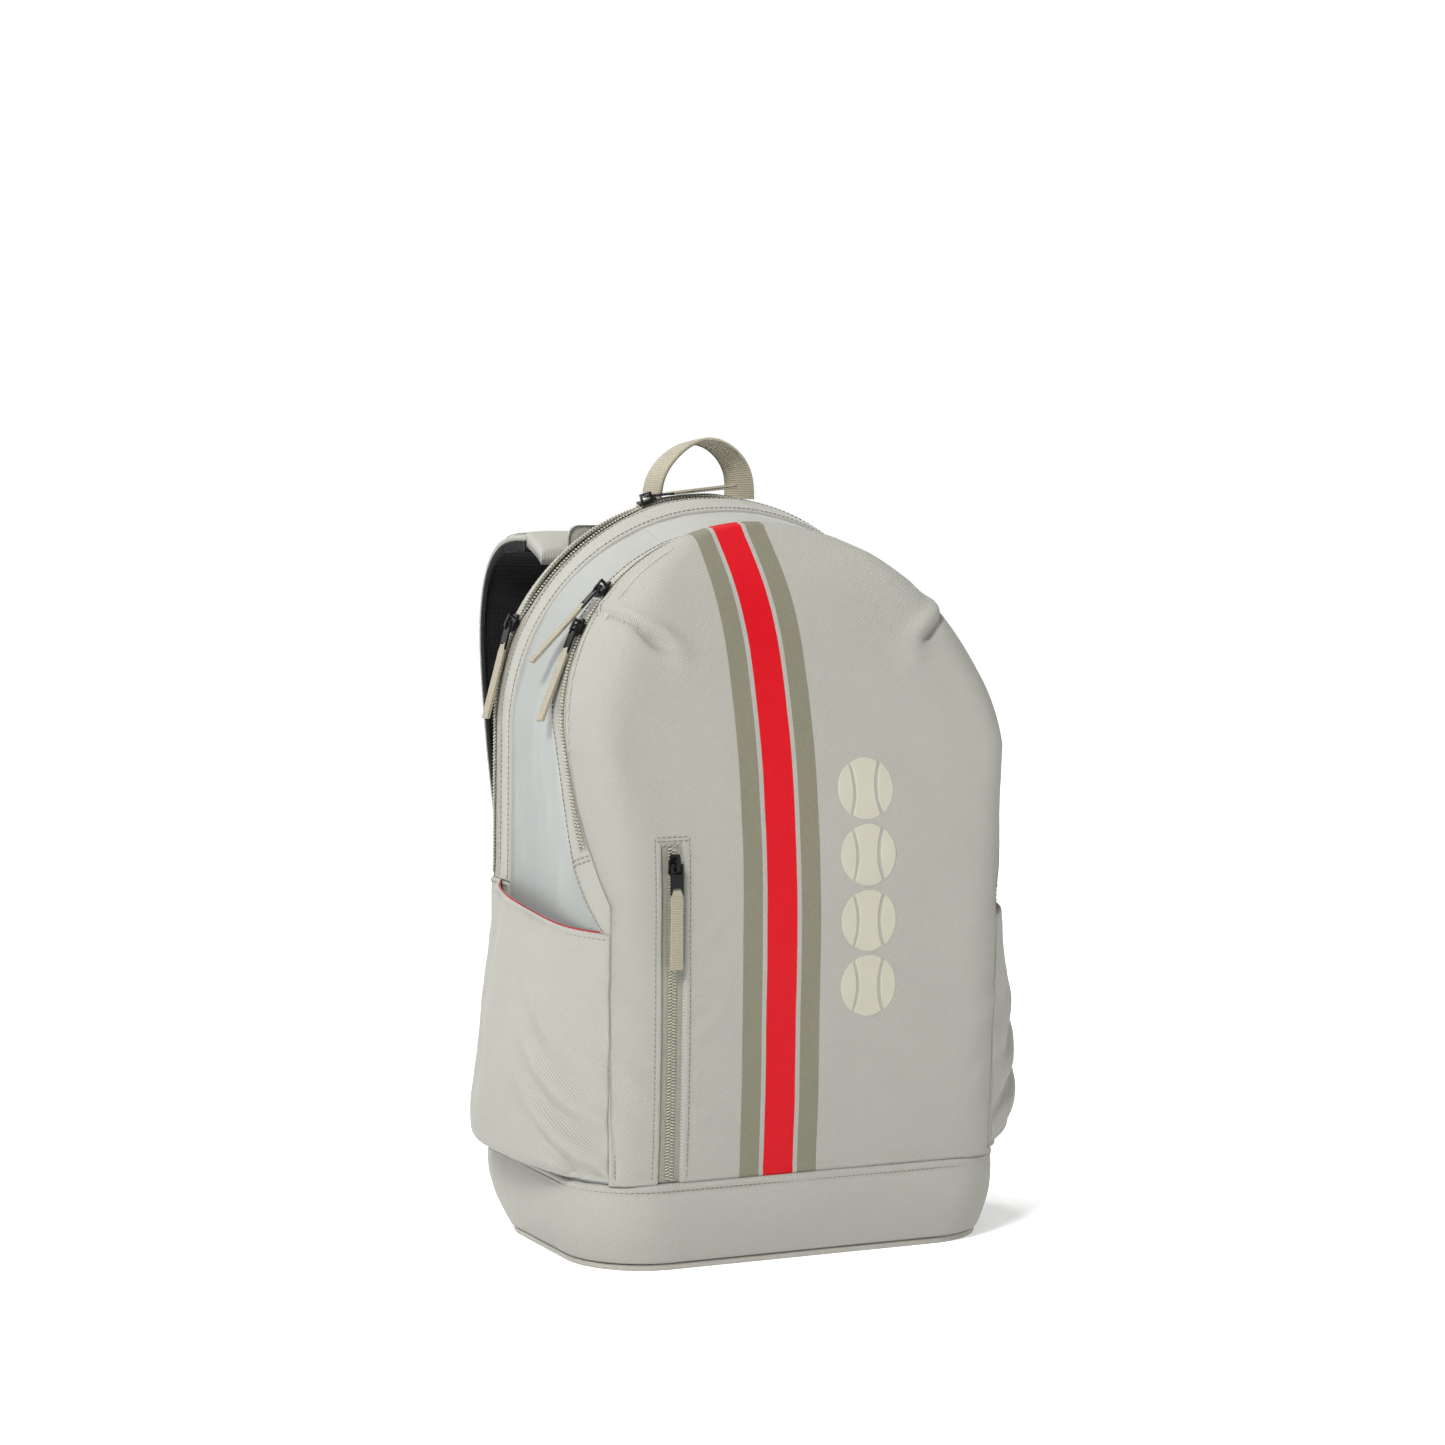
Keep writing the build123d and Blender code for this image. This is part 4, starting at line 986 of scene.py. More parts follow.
def make_gusset():
    def lift(s, part, flat, near):
        hollow = -2.8 * bump(part - 0.5, 0.42) * np.clip((np.abs(s) - 120) / 80, 0, 1)
        wrinkle = 1.0 * ripple(flat, 60, 1.7) + 0.45 * ripple(flat * np.array([1, 1, 0.35]), 16, 6.0)
        return (hollow + wrinkle) * np.clip(near / 4, 0, 1) - 0.9
    parts = merged(np.linspace(0, 1, 34), [0.006, 0.015, 0.985, 0.994])
    for label, low, high, rolled in (("left", -LOW_S, -TOP_S, (1, 0, 1, 1)),
                                     ("right", TOP_S, LOW_S, (0, 1, 1, 1))):
        panel = sheet_mesh(f"side_cloth_{label}", between, spread(low, high, 4), parts, lift, rolled=rolled)
        finish_piece(panel, "pack", "side_cloth", MAT["side"], f"side_panel_{label}")
    top = sheet_mesh("top_cloth", between, spread(-TOP_S, TOP_S, 3), parts, lift, rolled=(0, 0, 1, 1))
    finish_piece(top, "pack", "side_cloth", MAT["side"], "top_panel")

    def soft_lift(s, y, flat, near):
        return (0.6 * ripple(flat, 45, 5.2) + 0.5 * bump(near - 1.8, 1.3)) * np.clip(near / 3, 0, 1) + 0.2
    round_way = spread(-LEG_S, LEG_S, 4)
    band = sheet_mesh("main_band_cloth", skin, round_way, spread(BAND_Y - 1.5, SIDE_END_Y, 3), soft_lift)
    finish_piece(band, "pack", "side_cloth", MAT["smooth"], "main_band")
    rear = sheet_mesh("back_gusset_cloth", skin, round_way, spread(BACK_TAPE_Y - 0.6, BACK_Y - 0.4, 3),
                      soft_lift)
    finish_piece(rear, "pack", "shell_twill", MAT["smooth"], "back_gusset")
    for label, low, high in (("left", -LOW_S, -LEG_S), ("right", LEG_S, LOW_S)):
        lower = sheet_mesh(f"rear_lower_cloth_{label}", skin, spread(low, high, 4),
                           spread(BAND_Y - 1, BACK_Y - 0.4, 3), soft_lift)
        finish_piece(lower, "pack", "shell_twill", MAT["twill"], f"side_lower_{label}")

    def lining_lift(s, y, flat, near):
        return -4.2 + 0.4 * ripple(flat, 40, 7.7)
    lining = sheet_mesh("body_lining", skin, spread(-LOW_S + 4, LOW_S - 4, 8), np.linspace(-4, BACK_Y - 4, 20),
                        lining_lift, thick=0.5, roll=0.4)
    finish_piece(lining, "pack", "inner_lining", MAT["inside"])


make_gusset()


# ---- Side pockets ------------------------------------------------------------------------------------------
POCKET_BULGE = spline([56, 60, 66, 76, 90, 150, 200, 240], [6, 14, 22, 26, 26.5, 21, 13, 7])
POCKET_KNOTS = [0, 0.24, 0.52, 0.87, 1]
POCKET_BASIS = [spline(POCKET_KNOTS, np.eye(5)[k]) for k in range(5)]
POCKET_LOW = 57.0
POCKET_FOLDS = ((0, 4.4, 6), (26, 4.0, 7), (52, 3.0, 8))     # offset, depth and width of the slanting folds


def pocket_point(q, z):
    """The left pocket's outer wall: q from its front seam to its rear seam."""
    bulge = POCKET_BULGE(z)
    xs = [135.2 + 0 * bulge, 146 + 0.72 * bulge, 150 + bulge, 150 + 0.8 * bulge, 149.5 + 0 * bulge]
    ys = [SEAM_Y - 0.4, -62.0, -16.0, 42.0, 56.0]
    x = sum(POCKET_BASIS[k](q) * xs[k] for k in range(5))
    y = sum(POCKET_BASIS[k](q) * ys[k] for k in range(5))
    return np.stack([-x, y, z], axis=-1)


def pocket_top(q):
    y = pocket_point(q, np.full(np.shape(q), 150.0))[..., 1]
    return 211.0 + 17.0 * np.clip((y - SEAM_Y) / 144.0, 0, 1) ** 1.3


def pocket_place(q, part, h):
    """A place on the left pocket: q front to rear, part from its foot to its lip, h outwards."""
    top = pocket_top(q)

    def at(q, part):
        q = np.clip(q, 0, 1)
        return pocket_point(q, POCKET_LOW + (top - POCKET_LOW) * part)
    step = 0.012
    run = at(q + step, part) - at(q - step, part)
    rise = at(q, part + step) - at(q, part - step)
    out = unit(np.cross(rise, run))
    out = np.where(out[..., :1] > 0, -out, out)
    return at(q, part) + out * h[..., None]


def pocket_lift(q, part, flat, near):
    y, z = flat[..., 1], flat[..., 2]
    height = 3.2 * ripple(flat, 70, 2.2) + 0.7 * ripple(flat, 22, 5.9)
    height -= 3.4 * bump(y - 26 - (z - 150) * 0.06, 9) * np.clip((z - 80) / 40, 0, 1)
    for offset, depth, width in POCKET_FOLDS:
        slant = (z - 66 - offset) * 0.82 - (y + 74) * 0.75
        reach = bump(y + 66 - offset * 0.1, 26)
        height -= depth * bump(slant, width) * reach
        height += 0.8 * depth * bump(slant - 1.9 * width, width * 1.2) * reach
    pleat = bump(y + 70, 3.0) * np.clip((74 - z) / 16, 0, 1)
    height -= 3.4 * pleat
    height += 2.2 * bump(y + 76, 4.5) * np.clip((76 - z) / 18, 0, 1)
    height += 1.2 * bump(y + 61, 5.0) * np.clip((76 - z) / 18, 0, 1)
    gathers = np.sin(y * 0.45 + 2 * np.sin(y * 0.11)) * np.clip((72 - z) / 14, 0, 1)
    height += 0.5 * gathers
    hem = pocket_top(q) - z
    height += 0.35 * bump(hem - 1.2, 1.6) - 0.4 * bump(hem - 3.6, 0.8)
    return height * np.clip(near / 3, 0, 1)


def mirrored(obj, name):
    """A copy of a piece on the other side of the bag."""
    copy = obj.copy()
    copy.data = obj.data.copy()
    copy.name = name
    bpy.context.scene.collection.objects.link(copy)
    for vertex in copy.data.vertices:
        vertex.co.x = -vertex.co.x
    copy.data.flip_normals()
    return copy


def make_pockets():
    q = merged(np.linspace(0, 1, 62), [0.003, 0.008, 0.992, 0.997])
    part = merged(np.linspace(0, 1, 66), [0.003, 0.007, 0.014, 0.02, 0.986, 0.993, 0.997])
    left = sheet_mesh("side_pocket_cloth_left", pocket_place, q, part, pocket_lift)
    right = mirrored(left, "side_pocket_cloth_right")

    def lining_place(q, part, h):
        return pocket_place(q, part * 1.006, h - SKIN_T - 0.15)
    red_left = sheet_mesh("pocket_lining_left", lining_place, q[::2], merged(part[::2], [1.0]), pocket_lift,
                          thick=0.5, roll=0.3)
    red_right = mirrored(red_left, "pocket_lining_right")
    for label, cloth, red in (("left", left, red_left), ("right", right, red_right)):
        finish_piece(cloth, "pack", "shell_twill", MAT["twill"], f"side_pocket_{label}")
        finish_piece(red, "pack", "red_lining", MAT["lining"])
    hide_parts("pocket_linings")


make_pockets()


# ---- Boot and base -----------------------------------------------------------------------------------------
BOOT_LEVELS = np.array([4.0, 32.0, BOOT_Z])
BOOT_FRONT = np.array([-93.0, -97.0, -98.2])
BOOT_BACK = np.array([65.0, 87.0, 92.0])
BOOT_HALF = np.array([144.0, 149.5, 150.2])
BOOT_BACK_CORNER = 30.0


def quadratic(values, z):
    """The parabola through one value at each of the boot's three levels."""
    a, b, c = BOOT_LEVELS
    return (values[0] * (z - b) * (z - c) / ((a - b) * (a - c))
            + values[1] * (z - a) * (z - c) / ((b - a) * (b - c))
            + values[2] * (z - a) * (z - b) / ((c - a) * (c - b)))


def outline(p, z):
    """The boot's rounded outline: p runs from 0 to 8, one unit to each side and corner."""
    front_line, back_line, half = (quadratic(v, z) for v in (BOOT_FRONT, BOOT_BACK, BOOT_HALF))
    rf, rb = CORNER, BOOT_BACK_CORNER
    straight = back_line - rb - front_line - rf
    p = np.mod(p, 8.0)
    k = np.floor(p).astype(int)
    t = p - k
    turn = t * pi / 2
    xs = [-(half - rf) + 2 * (half - rf) * t, half - rf + rf * np.sin(turn), half + 0 * t,
          half - rb + rb * np.cos(turn), (half - rb) - 2 * (half - rb) * t, -(half - rb) - rb * np.sin(turn),
          -half + 0 * t, -(half - rf) - rf * np.cos(turn)]
    ys = [front_line + 0 * t, front_line + rf - rf * np.cos(turn), front_line + rf + straight * t,
          back_line - rb + rb * np.sin(turn), back_line + 0 * t, back_line - rb + rb * np.cos(turn),
          back_line - rb - straight * t, front_line + rf - rf * np.sin(turn)]
    return np.stack([np.choose(k, xs), np.choose(k, ys), z + 0 * t], axis=-1)


def boot_place(p, z, h):
    step = 0.02
    run = outline(p + step, z) - outline(p - step, z)
    rise = outline(p, z + 0.5) - outline(p, z - 0.5)
    out = unit(np.cross(run, rise))
    return outline(p, z) + out * h[..., None]


BOOT_JOIN = 4.495         # the boot is one strip closed at the middle of the back


def boot_columns():
    """Places round the boot, closer together on its corners, from the join right round to it again."""
    counts = (44, 18, 22, 12, 40, 12, 22, 18)
    places = np.concatenate([k + np.arange(n) / n for k, n in enumerate(counts)])
    return merged(np.where(places < BOOT_JOIN, places + 8, places), [BOOT_JOIN, BOOT_JOIN + 8], digits=9)


def make_boot():
    def lift(p, z, flat, near):
        height = 0.9 * ripple(flat, 60, 6.6) + 1.6 * bump(z - 30, 22)
        for seam in (2.78, 6.22):
            height -= 0.9 * bump((np.mod(p, 8.0) - seam) * 80, 1.3)
        height += 1.3 * bump(z - (BOOT_Z - 0.8), 1.7) - 0.7 * bump(z - (BOOT_Z - 4.4), 1.1)
        return height * np.clip(near / 3, 0, 1)
    levels = spread(4.3, BOOT_Z + 0.6, 2.6)
    boot = sheet_mesh("boot_cloth", boot_place, boot_columns(), levels, lift, thick=2.0, roll=1.6,
                      rolled=(0, 0, 1, 1))
    finish_piece(boot, "pack", "shell_twill", MAT["twill"], "base_boot")


make_boot()


# ---- Back --------------------------------------------------------------------------------------------------
def back_place(s, part, h):
    """The back panel as a fan: s round its edge, part from the middle line out to the edge."""
    edge = skin_point(s, np.full(np.shape(s), BACK_Y - 0.6))
    middle_z = np.where(np.abs(s) < ARC, MAIN_Z, MAIN_Z + ARC - np.abs(s))
    x = edge[..., 0] * part
    z = middle_z + (edge[..., 2] - middle_z) * part
    return np.stack([x, BACK_Y + h + 0 * x, z], axis=-1)


def make_back():
    def lift(s, part, flat, near):
        return 0.5 * ripple(flat, 55, 3.9) * np.clip(near / 6, 0, 1)
    parts = merged(np.linspace(0, 1, 36), [0.985, 0.993])
    panel = sheet_mesh("back_cloth", back_place, spread(-LOW_S + 0.5, LOW_S - 0.5, 6), parts, lift, thick=2.0,
                       uv=lambda u, v, flat: flat[..., [0, 2]], rolled=(0, 0, 0, 1))
    joined = bmesh.new()
    joined.from_mesh(panel.data)
    bmesh.ops.remove_doubles(joined, verts=joined.verts, dist=0.00002)
    joined.to_mesh(panel.data)
    joined.free()
    finish_piece(panel, "pack", "shell_twill", MAT["twill"], "back_panel")


make_back()


def patch_place(cx, cz, half_w, half_h, corner, y):
    """A rounded rectangle standing on the back: places for a (-1..1, -1..1) grid."""
    def place(a, b, h):
        past = np.clip((np.abs(b) * half_h - (half_h - corner)) / corner, 0, 1)
        x = cx + a * (half_w - corner * (1 - np.sqrt(1 - past ** 2)))
        return np.stack([x, y + h + 0 * x, cz + b * half_h + 0 * x], axis=-1)
    return place


def patch(name, place, half_w, half_h, slot, material, *replaced):
    """A sewn patch on the back, slightly crowned."""
    def crowned(a, b, flat, near):
        return 3.6 + 0.5 * ripple(flat, 30, 1.0) + 0.4 * bump(near - 2.5, 2) - 0.4 * bump(near - 5, 1.2)
    a = spread(-half_w, half_w, 4) / half_w
    b = spread(-half_h, half_h, 4) / half_h
    piece = sheet_mesh(name, place, a, b, crowned, thick=3.0, roll=2.0)
    finish_piece(piece, "pack", slot, material, *replaced)


VOXEL, PRESSURE, CAP, SHRINK = 4.5, 4.0, 5.0, 0.6     # how the pads are stuffed
CLOTH_FRAMES = 20


def apply_modifier(obj, name, kind, **settings):
    modifier = obj.modifiers.new(name, kind)
    for key, value in settings.items():
        setattr(modifier, key, value)
    bpy.ops.object.modifier_apply(modifier=modifier.name)


def inflate(name, node):
    """A stuffed pad: a copy of a frame solid, remeshed and blown up a little as cloth."""
    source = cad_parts[node]
    obj = bpy.data.objects.new(name, source.data.copy())
    bpy.context.scene.collection.objects.link(obj)
    bpy.context.view_layer.objects.active = obj
    for other in bpy.context.selected_objects:
        other.select_set(False)
    obj.select_set(True)
    apply_modifier(obj, "weld", "WELD", merge_threshold=0.00005)
    apply_modifier(obj, "remesh", "REMESH", mode="VOXEL", voxel_size=VOXEL * MM)
    mesh = obj.data
    count = len(mesh.vertices)
    start = np.empty(count * 3)
    mesh.vertices.foreach_get("co", start)
    normal = np.empty(count * 3)
    mesh.vertices.foreach_get("normal", normal)
    start = start - normal * SHRINK * MM
    mesh.vertices.foreach_set("co", start)
    cloth = obj.modifiers.new("cloth", "CLOTH")
    cloth.settings.use_pressure = True
    cloth.settings.uniform_pressure_force = PRESSURE
    cloth.settings.effector_weights.gravity = 0
    cloth.settings.mass = 0.25
    cloth.settings.tension_stiffness = 20
    cloth.settings.compression_stiffness = 15
    cloth.point_cache.frame_end = CLOTH_FRAMES
    scene = bpy.context.scene
    for number in range(1, CLOTH_FRAMES + 1):
        scene.frame_set(number)
    moved = obj.evaluated_get(bpy.context.evaluated_depsgraph_get()).data
    after = np.empty(count * 3)
    moved.vertices.foreach_get("co", after)
    obj.modifiers.remove(cloth)
    shift = (after - start).reshape(-1, 3)
    far = np.linalg.norm(shift, axis=1, keepdims=True)
    shift *= np.minimum(1, CAP * MM / np.maximum(far, 1e-9))
    mesh.vertices.foreach_set("co", (start.reshape(-1, 3) + shift).ravel())
    scene.frame_set(1)
    apply_modifier(obj, "smooth", "SMOOTH", iterations=3)
    apply_modifier(obj, "finer", "SUBSURF", levels=1)
    obj.data.shade_smooth()
    return obj


def press(obj, change):
    """Moves a finished mesh's points by a function of their places in millimetres."""
    mesh = obj.data
    points = np.empty(len(mesh.vertices) * 3)
    mesh.vertices.foreach_get("co", points)
    points = points.reshape(-1, 3) / MM
    mesh.vertices.foreach_set("co", (change(points) * MM).ravel())
    mesh.update()


PAD_FACE = BACK_Y + 12.0
GROOVES = (172.0, 232.0, 292.0, 352.0)


def rest_on_back(points):
    """Keeps a pad off the back panel and within its thickness."""
    points[:, 1] = np.clip(points[:, 1], BACK_Y + 0.4, PAD_FACE + 6)
    return points


def channel_pads(points):
    """Presses the sewn channels into the pads."""
    raised = np.clip((points[:, 1] - BACK_Y - 2) / 8, 0, 1)
    for z in GROOVES:
        points[:, 1] -= 4.2 * bump(points[:, 2] - z, 3.2) * raised
    return rest_on_back(points)


def make_pads():
    for name, node, change in (("back_pad_covers", "back_pads", channel_pads),
                               ("lumbar_cover", "lumbar_pad", rest_on_back)):
        pads = inflate(name, node)
        press(pads, change)
        finish_piece(pads, "pack", "black_mesh", MAT["mesh"], node)


YOKE_HALF_W, YOKE_HALF_H = 88, 20
YOKE_PLACE = patch_place(0, 434, YOKE_HALF_W, YOKE_HALF_H, 8, BACK_Y)


def make_patches():
    """The yoke that carries the straps, and the two anchors of their lower ends."""
    patch("yoke_cloth", YOKE_PLACE, YOKE_HALF_W, YOKE_HALF_H, "shell_twill", MAT["twill"], "strap_yoke")
    half_w, half_h = 14, 15
    for label, x, replaced in (("left", -118, ["strap_anchors"]), ("right", 118, [])):
        place = patch_place(x, 76, half_w, half_h, 6, BACK_Y)
        patch(f"anchor_cloth_{label}", place, half_w, half_h, "webbing", MAT["webbing"], *replaced)


make_pads()
make_patches()


# ---- Shoulder straps ---------------------------------------------------------------------------------------
STRAP_X, STRAP_HALF, FOAM_T = 80.0, 31.0, 8.0
STRAP_YS = [121, 149, 171, 182, 179, 164, 145, 132]
STRAP_ZS = [440, 437, 421, 392, 346, 285, 225, 178]
STRAP_RUN = np.concatenate([[0], np.cumsum(np.hypot(np.diff(STRAP_YS), np.diff(STRAP_ZS)))])
STRAP_Y, STRAP_Z = spline(STRAP_RUN, STRAP_YS), spline(STRAP_RUN, STRAP_ZS)
STRAP_LENGTH = STRAP_RUN[-1]


def strap_place(side, level):
    """Places on a strap: t along it from the top, w (-1..1) across it, h away from the wearer's side."""
    def place(t, w, h):
        ends = np.clip(t, 0, STRAP_LENGTH)
        dy = STRAP_Y(ends + 1) - STRAP_Y(ends - 1)
        dz = STRAP_Z(ends + 1) - STRAP_Z(ends - 1)
        size = np.hypot(dy, dz)
        lift = h + level
        x = side * STRAP_X + w * strap_half(t)
        return np.stack([x, STRAP_Y(ends) - dz / size * lift, STRAP_Z(ends) + dy / size * lift], axis=-1)
    return place


def strap_half(t):
    """Half the strap's width: it narrows at both ends."""
    top = 1 - 0.16 * bump(t, 26)
    low = 1 - 0.44 * np.clip((t - STRAP_LENGTH + 60) / 60, 0, 1) ** 2
    return STRAP_HALF * top * low


def make_strap(label, side):
    body = f"strap_{label}"
    ts = spread(0, STRAP_LENGTH, 5)
    across = merged(np.linspace(-1, 1, 21), [-0.985, -0.96, 0.96, 0.985])
    outer, inner = strap_place(side, FOAM_T), strap_place(side, FOAM_T - 3.0)

    def puff(t, w, flat, near):
        crown = 2.0 * (1 - np.abs(w) ** 2.4) - 3.4 * np.clip(np.abs(w) - 0.8, 0, 1) / 0.2
        creases = 0.7 * ripple(flat * np.array([0.3, 1, 1]), 14, 3.0 + side)
        return (crown + creases) * np.clip(near / 4, 0, 1) - 1.0
    pad = sheet_mesh(f"strap_cover_{label}", outer, ts, across, puff, thick=2.4, roll=2.2)
    finish_piece(pad, body, "shell_twill", MAT["twill"], f"strap_pad_{label}")

    def under(t, w, flat, near):
        return -1.1 * (1 - np.abs(w) ** 3) + 0.4 * ripple(flat, 18, 8.0)
    mesh_side = sheet_mesh(f"strap_under_{label}", inner, ts, across, under, thick=FOAM_T - 0.8, roll=2.5)
    finish_piece(mesh_side, body, "black_mesh", MAT["mesh"], f"strap_mesh_{label}")
    t = np.linspace(5, STRAP_LENGTH - 3, 160)
    seams = [frames_along(outer, t, edge * (1 - 4.0 / STRAP_HALF), -0.6) for edge in (-1, 1)]
    finish_piece(sew(f"strap_stitches_{label}", seams), body, "webbing", MAT["thread"])
    make_lower_web(label, side, body)
    make_neck(label, side)


WEB_HALF = 12.5           # half the width of all the webbing


def make_lower_web(label, side, body):
    """The adjusting webbing from the strap's ladder lock down to its anchor."""
    low, high = (Vector(c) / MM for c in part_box(f"strap_webbing_{label}"))
    top = Vector((low.x if side > 0 else high.x, high.y, high.z))
    foot = Vector((high.x if side > 0 else low.x, low.y, low.z))
    top.x += side * WEB_HALF * 0.97
    foot.x -= side * WEB_HALF * 0.97
    length = (foot - top).length
    along = (foot - top).normalized()
    across = (Vector((1, 0, 0)) - along * along.x).normalized()
    out = across.cross(along)
    if out.y < 0:
        out = -out

    def place(t, w, h):
        spots = np.array(top) + np.array(along) * t[..., None] + np.array(across) * w[..., None]
        return spots + np.array(out) * (h + 0.8)[..., None]

    def lift(t, w, flat, near):
        return 0.18 * np.sin(t * 2 * pi / 2.1) * np.clip(near / 1.2, 0, 1) + 0.25 * bump(np.abs(w) - 11.2, 1)
    web = sheet_mesh(f"strap_web_{label}", place, np.linspace(0, length, 180),
                     spread(-WEB_HALF, WEB_HALF, 3.5), lift, thick=1.4, roll=0.6)
    finish_piece(web, body, "webbing", MAT["webbing"], f"strap_webbing_{label}")


def make_neck(label, side):
    """The short cloth neck that joins the strap to the yoke."""
    run = spline([0, 16, 30], [BACK_Y + 3.5, 108, 124])
    rise = spline([0, 16, 30], [433, 439.5, 445])

    def place(t, w, h):
        return np.stack([side * STRAP_X + w + 0 * t, run(t), rise(t) + 3.4 + h], axis=-1)

    def lift(t, w, flat, near):
        return 1.6 * (1 - (np.abs(w) / 25) ** 3) * np.clip(near / 3, 0, 1) + 0.3 * ripple(flat, 12, 2.0)
    neck = sheet_mesh(f"strap_neck_{label}", place, spread(0, 30, 3), spread(-25, 25, 3.5), lift,
                      thick=6.0, roll=2.5)
    finish_piece(neck, None, "shell_twill", MAT["twill"], *(("strap_necks",) if side < 0 else ()))
    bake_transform(neck)


for strap_label, strap_side in (("left", -1), ("right", 1)):
    make_strap(strap_label, strap_side)


# ---- Grab handle -------------------------------------------------------------------------------------------
HANDLE_Y, HANDLE_RUN = 89.0, 116.0


def make_handle():
    knots = [0, 22, 58, 94, HANDLE_RUN]
    xs = spline(knots, [-30, -25.5, 5, 33, 35.5])
    zs = spline(knots, [471.5, 489, 510, 491, 471.5])
    twist = spline([0, 40, 75, HANDLE_RUN], [radians(2), radians(-2), radians(-14), radians(-24)])

    def place(t, w, h):
        dx, dz = xs(t + 1) - xs(t - 1), zs(t + 1) - zs(t - 1)
        size = np.hypot(dx, dz)
        nx, nz = -dz / size, dx / size
        turn = twist(t)
        narrow = 1 - 0.10 * bump(t - 58, 30)
        wy, wn = np.cos(turn) * w * narrow, np.sin(turn) * w * narrow
        hy, hn = -np.sin(turn) * h, np.cos(turn) * h
        return np.stack([xs(t) + nx * (wn + hn), HANDLE_Y + wy + hy + 0 * t, zs(t) + nz * (wn + hn)], axis=-1)

    def lift(t, w, flat, near):
        cupped = -0.6 * (w / WEB_HALF) ** 2
        return 0.9 + cupped + 0.07 * np.sin(t * 2 * pi / 1.5) + 0.3 * bump(np.abs(w) - 11.4, 0.9)
    handle = sheet_mesh("handle_webbing", place, np.linspace(0, HANDLE_RUN, 240),
                        spread(-WEB_HALF, WEB_HALF, 2.4), lift, thick=1.5, roll=0.6)
    finish_piece(handle, "grab_handle", "webbing", MAT["webbing"], "grab_handle")

    def plain_lift(s, y, flat, near):
        return 1.5 + 0.3 * ripple(flat, 18, 6.0) - 0.35 * bump(near - 3.0, 0.8)
    cover = sheet_mesh("handle_cover", skin, spread(-46, 46, 3),
                       spread(BACK_TAPE_Y - 6.5, BACK_Y - 0.3, 2), plain_lift, thick=1.2)
    finish_piece(cover, "pack", "shell_twill", MAT["smooth"], "handle_patch")


make_handle()


# ---- Pocket zip on the front -------------------------------------------------------------------------------
def make_welt():
    low, high = BOOT_Z + 1.5, WELT_HIGH + 0.5

    def place(z, x, h):
        return front(WELT_X + x, z, h)

    def lift(z, x, flat, near):
        return -2.1 + 0.15 * ripple(flat, 25, 2.0) + 0.3 * bump(np.abs(x) - 5.2, 1.0)
    tape = sheet_mesh("welt_web", place, spread(low, high, 4),
                      spread(-WELT_HALF - 0.4, WELT_HALF + 0.4, 1.6), lift, thick=0.8, roll=0.5)
    finish_piece(tape, "pack", "zip_tape", MAT["tape"], "welt_tape")
    z = np.linspace(high - 3, low + 1, 220)
    points = front(WELT_X, z, -1.3)
    out = front(WELT_X, z, 1.0) - front(WELT_X, z, 0.0)
    teeth = coil("welt_coil", points, out, pitch=1.9, reach=2.6)
    finish_piece(teeth, "pack", "zip_teeth", MAT["coil"], "welt_chain")


make_welt()


# ---- Zip pulls ---------------------------------------------------------------------------------------------
def node_points(name):
    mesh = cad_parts[name].data
    return np.array([v.co for v in mesh.vertices]) / MM


TAB_COLUMNS = np.array([-1, -0.93, -0.8, -0.4, 0, 0.4, 0.8, 0.93, 1])


def make_tab(base):
    """Ribbed webbing folded in two through the link, in place of the frame's plain tab."""
    tab_name = base.replace("slider", "tab")
    tab, link = node_points(tab_name), node_points(base.replace("slider", "link"))
    centre = (tab.min(axis=0) + tab.max(axis=0)) / 2
    centred = tab - tab.mean(axis=0)
    _, _, axes = np.linalg.svd(centred, full_matrices=False)
    along, across, out = axes
    if np.dot(along, tab.mean(axis=0) - link.mean(axis=0)) < 0:
        along = -along
    outward = tab.mean(axis=0) - np.array([0, 20.0, 300.0])
    if np.dot(out, outward) < 0:
        out = -out
    run = (tab - centre) @ along
    wide = (tab - centre) @ across
    deep = (tab - centre) @ out
    middle = across * (wide.max() + wide.min()) / 2 + out * (deep.max() + deep.min()) / 2
    origin = centre + along * run.min() + middle
    length = run.max() - run.min()
    body = base.replace("slider", "pull")
    for label, side in (("outer", 1), ("inner", -1)):
        def place(t, w, h, side=side):
            width = 4.25 - 1.5 * bump(t, 3.5)
            open_end = 0.45 + 0.5 * np.clip((t - 12) / length, 0, 1)
            level = side * (h + 0.28 + open_end * 0.5)
            return origin + along * t[..., None] + across * (w * width)[..., None] + out * level[..., None]

        def lift(t, w, flat, near):
            return 0.5 + 0.16 * np.sin(t * 2 * pi / 1.5) * np.clip(near / 0.8, 0, 1)
        layer = sheet_mesh(f"{tab_name}_{label}", place, np.linspace(0.5, length, 170), TAB_COLUMNS, lift,
                           thick=0.95, roll=0.35)
        replaced = [tab_name] if side > 0 else []
        finish_piece(layer, body, "webbing", MAT["webbing"], *replaced)


SLIDERS = ("main_slider_left", "main_slider_top", "front_slider_upper", "front_slider_lower", "welt_slider")
for slider_name in SLIDERS:
    make_tab(slider_name)


